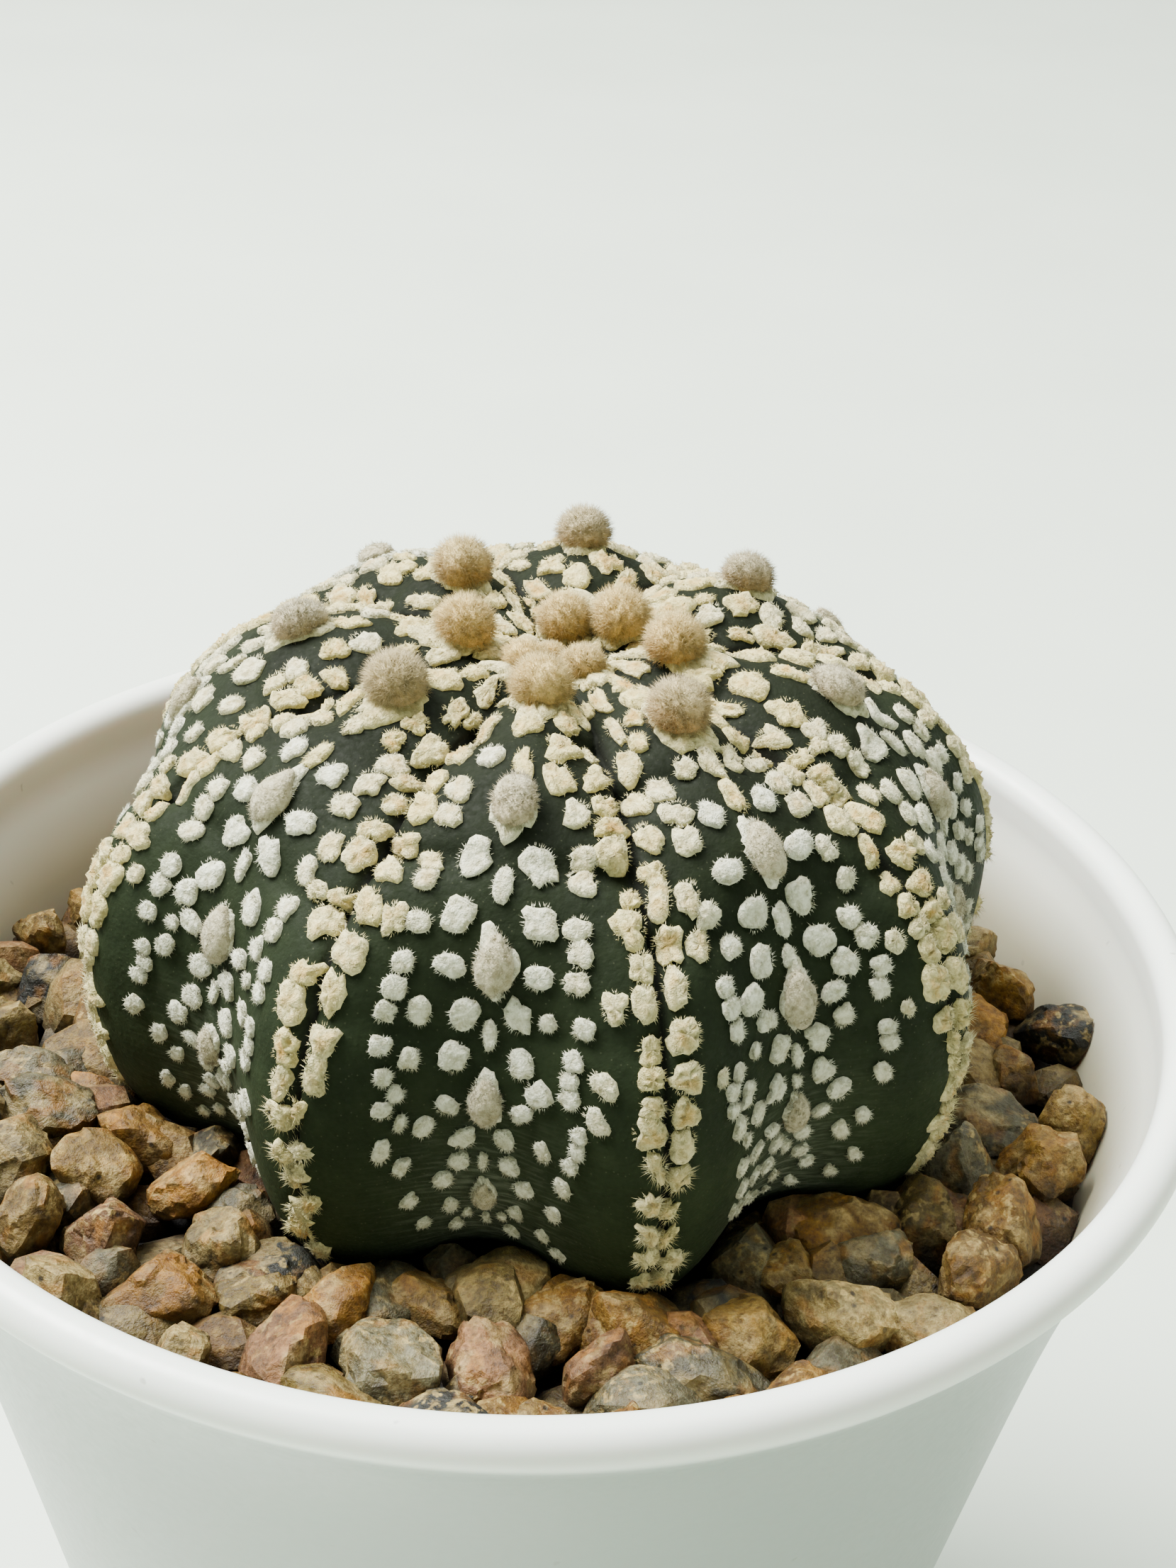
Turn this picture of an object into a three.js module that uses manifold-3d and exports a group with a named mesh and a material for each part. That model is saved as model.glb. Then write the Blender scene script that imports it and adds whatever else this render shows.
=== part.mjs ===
// Potted star cactus: a flattened eight-ribbed plant with felt flecks and woolly areoles,
// standing in gravel in a round plastic pot. Millimetres, +Z up, origin at the centre of the
// pot's underside, with the plant's front facing -Y.
import * as THREE from "three";
import { mergeVertices } from "three/addons/utils/BufferGeometryUtils.js";
import Module from "manifold-3d";

const wasm = await Module();
wasm.setup();

// Pot
const POT_SEGMENTS = 48;
const RIM_HEIGHT = 72;
const RIM_RADIUS = 40;
const LIP_BEAD_RADIUS = 1.35;
const LIP_BEAD_DROP = 0.7;
const WALL_THICKNESS = 1.5;
const WALL_RADIUS_AT_RIM = 39.97;
const WALL_TAPER = 0.189;
const FLARE_WIDTH = 3.4;
const FLARE_DEPTH = 6.0;
const FLOOR_TOP = 3.6;
const FOOT_HEIGHT = 1.6;
const FOOT_WIDTH = 4.2;
const FOOT_SLOPE = 0.8;
const OUTER_WALL_STEPS = [40, 13, 7, 3.6];
const INNER_WALL_STEPS = [3.6, 7, 13];
const LIP_BEAD_ANGLES = [-35, 10, 50, 90, 135, 180];
const DRAIN_RADIUS = 2.8;
const DRAIN_RING_RADIUS = 13.5;
const DRAIN_COUNT = 6;
const DRAIN_SIDES = 8;

// Fit between neighbours: the root and the fill lie a clearance apart, the flecked body has
// the larger margin, and points nearer than the weld are one point
const CLEARANCE = 0.3;
const ROOT_CLEARANCE = 0.4;
const BODY_MARGIN = 1.05;
const WELD = 1e-3;

// Fill
const GRAVEL_BED_TOP = RIM_HEIGHT - 9.4;
const GRAVEL_BED_BOTTOM = RIM_HEIGHT - 17.4;
const GRAVEL_REACH = RIM_HEIGHT - 3.6;
const PEBBLE_PITCH = 5.5;
const PEBBLE_SCATTER = 1.5;
const PEBBLE_RADIUS = 2.2;
const PEBBLE_RISE = 0.9;
const PEBBLE_SEED = 41;
const BARE_RADIUS_UNDER_PLANT = 22.5;
const HEX_ROW = Math.sqrt(3) / 2;

// Plant body: radius of the seam lines and of the areole lines, measured from the body's
// centre, every 18 degrees of elevation from the crown down to the underside
const PLANT_CENTRE = new THREE.Vector3(1.5, 4.8, RIM_HEIGHT - 1);
const ELEVATION_STEP = 18;
const SEAM_RADII = [18.1, 20.1, 23.2, 26.6, 29.4, 29.5, 28.2, 23.0, 18.0];
const AREOLE_RADII = [18.1, 20.7, 24.1, 26.2, 25.8, 25.2, 24.0, 20.5, 17.5];
const LOWEST_ELEVATION = -52;
const SEAM_AZIMUTHS = [-68, -26, 15, 56, 104, 152, 198, 244];
const RING_STEP = 9.6;
const GROOVE_DEPTH = 0.55;
const ACROSS_STEPS = [-1, -0.88, -0.47, 0, 0.47, 0.88];

// Taproot
const ROOT_SIDES = 10;
const ROOT_TOP_RADIUS = 7.5;
const ROOT_TIP_RADIUS = 1.6;
const ROOT_LENGTH = 34;

// Felt flecks
const FLECK_SIDES = 4;
const FLECK_SEED = 7;
const FLECK_SINK = 0.75;
const FLECK_RISE = 0.6;
const SEAM_FLECK = { length: 3.9, width: 2.5, spread: 0.5, turn: Math.PI / 4, twist: 0.4 };
const SEAM_FLECK_PITCH = 4.2;
const SEAM_FLECK_OFFSET = 1.75;
const RIB_FLECK = { length: 2.8, width: 2.5, spread: 0.65, turn: Math.PI / 2, twist: Math.PI };
const RIB_FLECK_PITCH = 4.8;
const RIB_ROW_PITCH = 5.3;
const RIB_ROW_BEND = 4;
const SEAM_TO_RIB_FLECK = 2.6;
const SEAM_FLECK_TOP_ELEVATION = 66;
const FLECK_TOP_ELEVATION = 72;
const FLECK_LOW_ELEVATION = -12;

// Areoles: where the first woolly tuft of each rib stands, counted in tuft intervals from the
// crown, and how the elevation falls from one tuft to the next
const AREOLE_STARTS = [0.35, 0.9, 0.35, 0.85, 0.6, 0.45, 0.1, 0.7];
const AREOLE_FALL = 24.5;
const AREOLE_FALL_EASE = 1.05;
const AREOLES_PER_RIB = 5;
const AREOLE_LOW_ELEVATION = -7;
const TUFT_RADIUS_CROWN = 2.15;
const TUFT_RADIUS_LOW = 1.35;
const CROWN_WOOL_RADIUS = 4.6;
const CROWN_WOOL_RISE = 1.7;

// Colours
const POT_COLOUR = 0xeef0ee;
const SOIL_COLOUR = 0x5b4a3a;
const GRAVEL_COLOUR = 0xb08f6a;
const SKIN_COLOUR = 0x2f3b2c;

const DEGREE = Math.PI / 180;

// Random numbers in 0..1, the same on every run
function randomStream(seed) {
  let state = seed >>> 0;
  return function next() {
    state = (Math.imul(state, 1664525) + 1013904223) >>> 0;
    return state / 4294967296;
  };
}

// Smooth curve through values at 0, 1, 2 ..., level at the first one
function smoothThrough(values, position) {
  const last = values.length - 1;
  const x = Math.min(Math.max(position, 0), last - 1e-9);
  const i = Math.floor(x);
  const t = x - i;
  const before = values[i > 0 ? i - 1 : 1];
  const here = values[i];
  const after = values[i + 1];
  const beyond = i + 2 <= last ? values[i + 2] : 2 * after - here;
  const slope = after - before;
  const bend = 2 * before - 5 * here + 4 * after - beyond;
  const twist = 3 * here - 3 * after + beyond - before;
  return 0.5 * (2 * here + slope * t + bend * t * t + twist * t * t * t);
}

// The seams on either side of a rib, in degrees from the front towards +X
function ribEdges(rib) {
  const count = SEAM_AZIMUTHS.length;
  const left = SEAM_AZIMUTHS[rib];
  const right = rib + 1 < count ? SEAM_AZIMUTHS[rib + 1] : SEAM_AZIMUTHS[0] + 360;
  return [left, right];
}

// Distance of the skin from the body's centre: across is -1 at a rib's left seam, 0 on its
// areole line and 1 at its right seam
function skinRadius(elevation, across) {
  const position = (90 - elevation) / ELEVATION_STEP;
  const seam = smoothThrough(SEAM_RADII, position);
  const areole = smoothThrough(AREOLE_RADII, position);
  const towardsSeam = (1 - Math.cos(Math.PI * across)) / 2;
  return areole + (seam - areole) * towardsSeam;
}

function skinPoint(rib, elevation, across, lift) {
  const [left, right] = ribEdges(rib);
  const azimuth = (left + ((across + 1) / 2) * (right - left)) * DEGREE;
  const radius = skinRadius(elevation, across) + lift;
  const out = radius * Math.cos(elevation * DEGREE);
  const up = radius * Math.sin(elevation * DEGREE);
  return new THREE.Vector3(
    PLANT_CENTRE.x + out * Math.sin(azimuth),
    PLANT_CENTRE.y - out * Math.cos(azimuth),
    PLANT_CENTRE.z + up,
  );
}

// Axes on the skin: along runs down the rib, across runs round the plant, outward is the normal
function skinFrame(rib, elevation, across) {
  const origin = skinPoint(rib, elevation, across, 0);
  const along = skinPoint(rib, elevation - 1, across, 0).sub(skinPoint(rib, elevation + 1, across, 0));
  const round = skinPoint(rib, elevation, across + 0.05, 0).sub(skinPoint(rib, elevation, across - 0.05, 0));
  along.normalize();
  const outward = along.clone().cross(round).normalize();
  const sideways = outward.clone().cross(along);
  return { origin, along, sideways, outward };
}

function ribHalfWidth(rib, elevation, across) {
  const [left, right] = ribEdges(rib);
  return (skinRadius(elevation, across) * Math.cos(elevation * DEGREE) * (right - left) * DEGREE) / 2;
}

function geometryFrom(points, triangles) {
  const geometry = new THREE.BufferGeometry();
  const positions = points.flatMap((point) => [point.x, point.y, point.z]);
  geometry.setAttribute("position", new THREE.Float32BufferAttribute(positions, 3));
  geometry.setIndex(triangles);
  return geometry;
}

function solidFrom(geometry, tolerance = 1e-5) {
  const bare = geometry.clone();
  bare.deleteAttribute("normal");
  bare.deleteAttribute("uv");
  const merged = mergeVertices(bare, tolerance);
  return new wasm.Manifold(
    new wasm.Mesh({
      numProp: 3,
      vertProperties: new Float32Array(merged.attributes.position.array),
      triVerts: new Uint32Array(merged.index.array),
    }),
  );
}

function geometryOf(solid) {
  const mesh = solid.getMesh();
  const geometry = new THREE.BufferGeometry();
  geometry.setAttribute("position", new THREE.Float32BufferAttribute(mesh.vertProperties, 3));
  geometry.setIndex(Array.from(mesh.triVerts));
  geometry.computeVertexNormals();
  return geometry;
}

// The outside of the largest body: loose scraps are dropped and sealed pockets are filled
function mainBody(solid) {
  let bodies = [solid];
  do {
    bodies = solidFrom(geometryOf(bodies[0]), WELD).decompose();
    bodies.sort((a, b) => b.volume() - a.volume());
  } while (bodies.length > 1);
  return bodies[0];
}

function joined(solids) {
  let layer = solids;
  while (layer.length > 1) {
    const next = [];
    for (let i = 0; i < layer.length; i += 2) {
      next.push(i + 1 < layer.length ? layer[i].add(layer[i + 1]) : layer[i]);
    }
    layer = next;
  }
  return layer[0];
}

function lathe(profile, segments) {
  const points = profile.map(([radius, height]) => new THREE.Vector2(radius, height));
  const geometry = new THREE.LatheGeometry(points, segments);
  geometry.rotateX(Math.PI / 2);
  return geometry;
}

// Pot wall, measured from the rim plane downwards
function outerWallRadius(height) {
  const below = height - RIM_HEIGHT;
  return WALL_RADIUS_AT_RIM + WALL_TAPER * below + FLARE_WIDTH * Math.exp(below / FLARE_DEPTH);
}

function innerWallRadius(height) {
  return Math.min(outerWallRadius(height) - WALL_THICKNESS, RIM_RADIUS);
}

function potProfile() {
  const beadRadius = RIM_RADIUS + LIP_BEAD_RADIUS;
  const beadHeight = RIM_HEIGHT - LIP_BEAD_DROP;
  const footOuter = outerWallRadius(0);
  const profile = [
    [0, FOOT_HEIGHT],
    [footOuter - FOOT_WIDTH - FOOT_SLOPE, FOOT_HEIGHT],
    [footOuter - FOOT_WIDTH, 0],
    [footOuter - FOOT_SLOPE, 0],
    [outerWallRadius(FOOT_SLOPE), FOOT_SLOPE],
  ];
  for (const below of OUTER_WALL_STEPS) {
    profile.push([outerWallRadius(RIM_HEIGHT - below), RIM_HEIGHT - below]);
  }
  for (const angle of LIP_BEAD_ANGLES) {
    profile.push([
      beadRadius + LIP_BEAD_RADIUS * Math.cos(angle * DEGREE),
      beadHeight + LIP_BEAD_RADIUS * Math.sin(angle * DEGREE),
    ]);
  }
  for (const below of INNER_WALL_STEPS) {
    profile.push([innerWallRadius(RIM_HEIGHT - below), RIM_HEIGHT - below]);
  }
  profile.push([innerWallRadius(FLOOR_TOP), FLOOR_TOP]);
  profile.push([0, FLOOR_TOP]);
  return profile;
}

function drainHole(x, y) {
  const hole = new THREE.CylinderGeometry(DRAIN_RADIUS, DRAIN_RADIUS, 4 * FLOOR_TOP, DRAIN_SIDES);
  hole.rotateX(Math.PI / 2);
  hole.translate(x, y, FLOOR_TOP / 2);
  return solidFrom(hole);
}

function makePot() {
  let pot = solidFrom(lathe(potProfile(), POT_SEGMENTS));
  pot = pot.subtract(drainHole(0, 0));
  for (let i = 0; i < DRAIN_COUNT; i += 1) {
    const angle = (2 * Math.PI * i) / DRAIN_COUNT;
    const x = DRAIN_RING_RADIUS * Math.cos(angle);
    const y = DRAIN_RING_RADIUS * Math.sin(angle);
    pot = pot.subtract(drainHole(x, y));
  }
  return geometryOf(pot);
}

// Body of the plant, grown by a margin where it makes room in the gravel
function bodySurface(margin, grooveDepth) {
  const points = [skinPoint(0, 90, 0, margin)];
  const rings = [];
  const ringCount = Math.ceil((90 - LOWEST_ELEVATION) / RING_STEP);
  for (let ring = 1; ring <= ringCount; ring += 1) {
    const elevation = 90 - (ring * (90 - LOWEST_ELEVATION)) / ringCount;
    const loop = [];
    for (let rib = 0; rib < SEAM_AZIMUTHS.length; rib += 1) {
      for (const across of ACROSS_STEPS) {
        const onSeam = across === -1;
        const fade = Math.min(1, ring / 3);
        const lift = margin - (onSeam ? grooveDepth * fade : 0);
        loop.push(points.length);
        points.push(skinPoint(rib, elevation, across, lift));
      }
    }
    rings.push(loop);
  }
  const triangles = [];
  const perRing = rings[0].length;
  for (let i = 0; i < perRing; i += 1) {
    const next = (i + 1) % perRing;
    triangles.push(0, rings[0][i], rings[0][next]);
    for (let ring = 0; ring + 1 < rings.length; ring += 1) {
      const upper = rings[ring];
      const lower = rings[ring + 1];
      triangles.push(upper[i], lower[i], lower[next]);
      triangles.push(upper[i], lower[next], upper[next]);
    }
  }
  const under = points.length;
  const lowest = rings[rings.length - 1];
  points.push(new THREE.Vector3(PLANT_CENTRE.x, PLANT_CENTRE.y, points[lowest[0]].z));
  for (let i = 0; i < perRing; i += 1) {
    triangles.push(under, lowest[(i + 1) % perRing], lowest[i]);
  }
  return solidFrom(geometryFrom(points, triangles));
}

function taproot(margin) {
  const top = PLANT_CENTRE.z + skinRadius(LOWEST_ELEVATION, 0) * Math.sin(LOWEST_ELEVATION * DEGREE);
  const tip = top - ROOT_LENGTH - margin;
  const root = lathe(
    [
      [0, tip],
      [ROOT_TIP_RADIUS + margin, tip],
      [0.55 * ROOT_TOP_RADIUS + margin, top - 0.55 * ROOT_LENGTH],
      [0.9 * ROOT_TOP_RADIUS + margin, top - 0.2 * ROOT_LENGTH],
      [ROOT_TOP_RADIUS + margin, top + 2],
      [0, top + 2],
    ],
    ROOT_SIDES,
  );
  root.translate(PLANT_CENTRE.x, PLANT_CENTRE.y, 0);
  return solidFrom(root);
}

// One felt pad: a low many-sided frustum with its foot sunk in the skin
function fleckSolid(frame, length, width, turn) {
  const points = [];
  for (const [height, spread] of [[-FLECK_SINK, 1.05], [FLECK_RISE, 0.84]]) {
    for (let i = 0; i < FLECK_SIDES; i += 1) {
      const angle = turn + (2 * Math.PI * i) / FLECK_SIDES;
      const point = frame.origin.clone();
      point.addScaledVector(frame.outward, height);
      point.addScaledVector(frame.along, (spread * length * Math.cos(angle)) / 2);
      point.addScaledVector(frame.sideways, (spread * width * Math.sin(angle)) / 2);
      points.push(point);
    }
  }
  const triangles = [];
  for (let i = 0; i < FLECK_SIDES; i += 1) {
    const next = (i + 1) % FLECK_SIDES;
    triangles.push(i, next, FLECK_SIDES + next);
    triangles.push(i, FLECK_SIDES + next, FLECK_SIDES + i);
  }
  for (let i = 1; i + 1 < FLECK_SIDES; i += 1) {
    triangles.push(0, i + 1, i);
    triangles.push(FLECK_SIDES, FLECK_SIDES + i, FLECK_SIDES + i + 1);
  }
  return solidFrom(geometryFrom(points, triangles));
}

function areoleElevation(rib, index) {
  const step = AREOLE_STARTS[rib] + index;
  return 90 - AREOLE_FALL * step + AREOLE_FALL_EASE * step * step;
}

function areoleList() {
  const list = [];
  for (let rib = 0; rib < SEAM_AZIMUTHS.length; rib += 1) {
    for (let index = 0; index < AREOLES_PER_RIB; index += 1) {
      const elevation = areoleElevation(rib, index);
      if (elevation > AREOLE_LOW_ELEVATION) {
        const low = 1 - Math.max(0, elevation) / 90;
        const radius = TUFT_RADIUS_CROWN + (TUFT_RADIUS_LOW - TUFT_RADIUS_CROWN) * low ** 1.5;
        list.push({ rib, elevation, radius, frame: skinFrame(rib, elevation, 0) });
      }
    }
  }
  return list;
}

function tuftSolid(areole) {
  const tuft = new THREE.IcosahedronGeometry(areole.radius, 0);
  tuft.scale(1, 1, 0.9);
  const { origin, along, sideways, outward } = areole.frame;
  tuft.applyMatrix4(new THREE.Matrix4().makeBasis(along, sideways, outward));
  const centre = origin.clone().addScaledVector(outward, 0.35 * areole.radius);
  tuft.translate(centre.x, centre.y, centre.z);
  return solidFrom(tuft);
}

function fleckShape(kind, random) {
  const length = kind.length + kind.spread * random();
  const width = kind.width + kind.spread * random();
  const turn = kind.turn + kind.twist * (random() - 0.5);
  return { length, width, turn };
}

// Two rows of pads hug each seam
function seamFlecks(random) {
  const pads = [];
  for (let rib = 0; rib < SEAM_AZIMUTHS.length; rib += 1) {
    for (const side of [-1, 1]) {
      let elevation = SEAM_FLECK_TOP_ELEVATION + 4 * random();
      while (elevation > FLECK_LOW_ELEVATION) {
        const across = side * (1 - SEAM_FLECK_OFFSET / ribHalfWidth(rib, elevation, side));
        pads.push({ rib, elevation, across, ...fleckShape(SEAM_FLECK, random) });
        elevation -= SEAM_FLECK_PITCH / skinRadius(elevation, side) / DEGREE;
      }
    }
  }
  return pads;
}

// Rows of pads cross each rib between its areoles, bent up at the middle
function ribFlecks(random) {
  const pads = [];
  for (let rib = 0; rib < SEAM_AZIMUTHS.length; rib += 1) {
    let rowElevation = FLECK_TOP_ELEVATION;
    while (rowElevation > FLECK_LOW_ELEVATION) {
      const halfWidth = ribHalfWidth(rib, rowElevation, 0);
      const room = Math.max(0, halfWidth - SEAM_FLECK_OFFSET - SEAM_TO_RIB_FLECK);
      const count = Math.floor((2 * room) / RIB_FLECK_PITCH) + 1;
      for (let i = 0; i < count; i += 1) {
        const place = count > 1 ? (2 * i) / (count - 1) - 1 : 0;
        const across = (place * room + 0.5 * (random() - 0.5)) / halfWidth;
        const elevation = rowElevation - RIB_ROW_BEND * Math.abs(across) + 2 * (random() - 0.5);
        pads.push({ rib, elevation, across, ...fleckShape(RIB_FLECK, random) });
      }
      rowElevation -= RIB_ROW_PITCH / skinRadius(rowElevation, 0) / DEGREE;
    }
  }
  return pads;
}

// Pads keep clear of the tufts and of each other
function withoutCrowding(pads, areoles) {
  const kept = [];
  for (const pad of pads) {
    const frame = skinFrame(pad.rib, pad.elevation, pad.across);
    const reach = 0.38 * pad.width + 0.1 * pad.length;
    const farFrom = (other, room) => other.distanceTo(frame.origin) > room;
    const offTufts = areoles.every((areole) => farFrom(areole.frame.origin, areole.radius + reach + 0.2));
    const offPads = kept.every((other) => farFrom(other.frame.origin, other.reach + reach));
    const offCrown = farFrom(skinPoint(0, 90, 0, 0), CROWN_WOOL_RADIUS + reach);
    if (offTufts && offPads && offCrown) {
      kept.push({ ...pad, frame, reach });
    }
  }
  return kept;
}

// The felt in the middle of the crown, where the youngest tufts crowd together
function crownWool() {
  const wool = new THREE.SphereGeometry(CROWN_WOOL_RADIUS, 12, 6);
  wool.scale(1, 1, CROWN_WOOL_RISE / CROWN_WOOL_RADIUS);
  const centre = skinPoint(0, 90, 0, -0.3);
  wool.translate(centre.x, centre.y, centre.z);
  return solidFrom(wool, WELD);
}

function makeCactus() {
  const areoles = areoleList();
  const random = randomStream(FLECK_SEED);
  const pads = withoutCrowding([...seamFlecks(random), ...ribFlecks(random)], areoles);
  const flecks = pads.map((pad) => fleckSolid(pad.frame, pad.length, pad.width, pad.turn));
  const body = bodySurface(0, GROOVE_DEPTH).add(taproot(0));
  const wool = joined([crownWool(), ...areoles.map(tuftSolid)]);
  return geometryOf(mainBody(body.add(wool).add(joined(flecks))));
}

// Room that the plant takes in the gravel and the potting mix
function plantRoom() {
  return bodySurface(BODY_MARGIN, 0).add(taproot(ROOT_CLEARANCE));
}

function potInside(bottom, top) {
  const profile = [[0, bottom]];
  for (const height of [bottom, (bottom + top) / 2, top]) {
    profile.push([innerWallRadius(height) - CLEARANCE, height]);
  }
  profile.push([0, top]);
  return solidFrom(lathe(profile, POT_SEGMENTS));
}

function makePottingMix(room) {
  const mix = potInside(FLOOR_TOP + CLEARANCE, GRAVEL_BED_BOTTOM - CLEARANCE);
  return geometryOf(mainBody(mix.subtract(room)));
}

// One stone: a block with its corners pushed in or out
function pebbleSolid(x, y, height, radius, random) {
  const block = new THREE.BoxGeometry(1, 1, 1);
  block.deleteAttribute("normal");
  block.deleteAttribute("uv");
  const stone = mergeVertices(block);
  const corners = stone.attributes.position;
  const size = [1.25 + 0.5 * random(), 1.15 + 0.3 * random(), 1.0 + 0.3 * random()];
  for (let i = 0; i < corners.count; i += 1) {
    const push = radius * (0.92 + 0.36 * random());
    corners.setXYZ(
      i,
      corners.getX(i) * push * size[0],
      corners.getY(i) * push * size[1],
      corners.getZ(i) * push * size[2],
    );
  }
  const turn = new THREE.Euler(Math.PI * random(), Math.PI * random(), Math.PI * random());
  stone.applyMatrix4(new THREE.Matrix4().makeRotationFromEuler(turn));
  stone.translate(x, y, height);
  return solidFrom(stone);
}

function makeGravel(room) {
  const random = randomStream(PEBBLE_SEED);
  const pebbles = [];
  const wall = innerWallRadius(GRAVEL_BED_TOP);
  const rows = Math.ceil(wall / (PEBBLE_PITCH * HEX_ROW));
  for (let row = -rows; row <= rows; row += 1) {
    for (let column = -rows - 2; column <= rows + 2; column += 1) {
      const x = (column + 0.5 * (row & 1)) * PEBBLE_PITCH + PEBBLE_SCATTER * (random() - 0.5);
      const y = row * HEX_ROW * PEBBLE_PITCH + PEBBLE_SCATTER * (random() - 0.5);
      const radius = PEBBLE_RADIUS * (0.82 + 0.36 * random());
      const height = GRAVEL_BED_TOP + PEBBLE_RISE * random();
      const seed = Math.floor(1e6 * random());
      const fromPlant = Math.hypot(x - PLANT_CENTRE.x, y - PLANT_CENTRE.y);
      if (Math.hypot(x, y) < wall && fromPlant > BARE_RADIUS_UNDER_PLANT) {
        pebbles.push(pebbleSolid(x, y, height, radius, randomStream(seed)));
      }
    }
  }
  const bed = potInside(GRAVEL_BED_BOTTOM, GRAVEL_BED_TOP);
  const reach = potInside(GRAVEL_BED_BOTTOM, GRAVEL_REACH);
  const gravel = bed.add(joined(pebbles)).intersect(reach).subtract(room);
  return geometryOf(mainBody(gravel));
}

function addPart(group, name, geometry, colour, roughness) {
  const material = new THREE.MeshStandardMaterial({ color: colour, roughness, metalness: 0 });
  const mesh = new THREE.Mesh(geometry, material);
  mesh.name = name;
  group.add(mesh);
}

const pottedCactus = new THREE.Group();
const room = plantRoom();
addPart(pottedCactus, "pot", makePot(), POT_COLOUR, 0.35);
addPart(pottedCactus, "potting_mix", makePottingMix(room), SOIL_COLOUR, 0.95);
addPart(pottedCactus, "gravel", makeGravel(room), GRAVEL_COLOUR, 0.8);
addPart(pottedCactus, "cactus", makeCactus(), SKIN_COLOUR, 0.55);

export default pottedCactus;
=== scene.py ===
import math
from itertools import product

import bmesh
import bpy
import numpy as np
from mathutils import Matrix, Vector


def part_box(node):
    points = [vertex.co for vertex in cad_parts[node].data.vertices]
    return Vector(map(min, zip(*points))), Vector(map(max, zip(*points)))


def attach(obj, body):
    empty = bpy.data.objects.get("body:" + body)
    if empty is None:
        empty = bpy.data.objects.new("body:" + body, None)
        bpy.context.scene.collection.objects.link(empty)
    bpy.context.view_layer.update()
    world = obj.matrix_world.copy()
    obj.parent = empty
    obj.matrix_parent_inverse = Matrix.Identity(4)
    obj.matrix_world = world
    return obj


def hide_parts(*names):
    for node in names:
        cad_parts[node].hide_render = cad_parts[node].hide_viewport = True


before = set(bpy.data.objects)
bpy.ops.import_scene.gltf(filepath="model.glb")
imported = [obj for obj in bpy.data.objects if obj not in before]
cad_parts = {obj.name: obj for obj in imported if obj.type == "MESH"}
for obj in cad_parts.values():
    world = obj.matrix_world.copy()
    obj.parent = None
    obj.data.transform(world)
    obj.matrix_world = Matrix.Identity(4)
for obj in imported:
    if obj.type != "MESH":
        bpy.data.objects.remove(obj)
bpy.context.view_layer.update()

MM = 0.001
DEGREE = math.pi / 180

# Pot, the same dimensions as its solid
RIM_HEIGHT = 72.0
RIM_RADIUS = 40.0
LIP_BEAD_RADIUS = 1.35
LIP_BEAD_DROP = 0.7
WALL_THICKNESS = 1.5
WALL_RADIUS_AT_RIM = 39.97
WALL_TAPER = 0.189
FLARE_WIDTH = 3.4
FLARE_DEPTH = 6.0
FLOOR_TOP = 3.6
FOOT_HEIGHT = 1.6
FOOT_WIDTH = 4.2
FOOT_SLOPE = 0.8
DRAIN_RADIUS = 2.8
DRAIN_RING_RADIUS = 13.5
DRAIN_COUNT = 6
POT_SEGMENTS = 192

# Gravel, the same layout as its solid, with a second layer under it
GRAVEL_BED_TOP = RIM_HEIGHT - 9.4
PEBBLE_PITCH = 5.5
PEBBLE_SCATTER = 1.5
PEBBLE_RADIUS = 2.2
PEBBLE_RISE = 0.9
PEBBLE_SEED = 41
BARE_RADIUS_UNDER_PLANT = 22.5
HEX_ROW = math.sqrt(3) / 2

# Plant body, the same dimensions as its solid
PLANT_CENTRE = np.array([1.5, 4.8, RIM_HEIGHT - 1])
LAT_STEP = 18
SEAM_RADII = np.array([18.1, 20.1, 23.2, 26.6, 29.4, 29.5, 28.2, 23.0, 18.0])
AREOLE_RADII = np.array([18.1, 20.7, 24.1, 26.2, 25.8, 25.2, 24.0, 20.5, 17.5])
LOWEST_LAT = -52
SEAM_LONS = np.array([-68.0, -26.0, 15.0, 56.0, 104.0, 152.0, 198.0, 244.0])
RIB_COUNT = len(SEAM_LONS)
GROOVE_DEPTH = 0.55

# Areoles, the same places as in the solid
AREOLE_STARTS = [0.35, 0.9, 0.35, 0.85, 0.6, 0.45, 0.1, 0.7]
AREOLE_FALL = 24.5
AREOLE_FALL_EASE = 1.05
AREOLES_PER_RIB = 5
AREOLE_LOW_LAT = -7

# Camera, fitted to the pot's rim and wall in the photo
CAMERA_TARGET = np.array([3.75, 19.68, RIM_HEIGHT])
CAMERA_DISTANCE = 165.4
CAMERA_PITCH = 30.94
CAMERA_ROLL = 2.92
CAMERA_LENS = 54.03


def linear(red, green, blue):
    """A colour given as it looks on a screen, 0 to 255, as Blender's linear values."""
    values = []
    for value in (red, green, blue):
        c = value / 255
        values.append(c / 12.92 if c <= 0.04045 else ((c + 0.055) / 1.055) ** 2.4)
    return (*values, 1.0)


def ramp(value, start, end):
    """0 at the start, 1 at the end, straight between them and level outside them."""
    return np.clip((value - start) / (end - start), 0, 1)


def bell(distance, width):
    """1 in the middle, falling off smoothly over about that width."""
    return np.exp(-((distance / width) ** 2))


def jitter(rng, amount):
    """A random number of up to half that amount on either side of 0."""
    return amount * (rng.random() - 0.5)


def around(count):
    """That many angles, evenly round a circle."""
    return np.arange(count) * 2 * math.pi / count


def unit(vectors):
    return vectors / np.linalg.norm(vectors, axis=-1, keepdims=True)


def unit_vectors(rng, count):
    return unit(rng.normal(size=(count, 3)))


# Meshes

def paint(mesh, key, values):
    """Stores a number or a colour on each point of a mesh, for its material."""
    values = np.asarray(values, dtype=float)
    kind, field = ("FLOAT", "value") if values.ndim == 1 else ("FLOAT_COLOR", "color")
    mesh.attributes.new(key, kind, "POINT").data.foreach_set(field, values.ravel())


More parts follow.
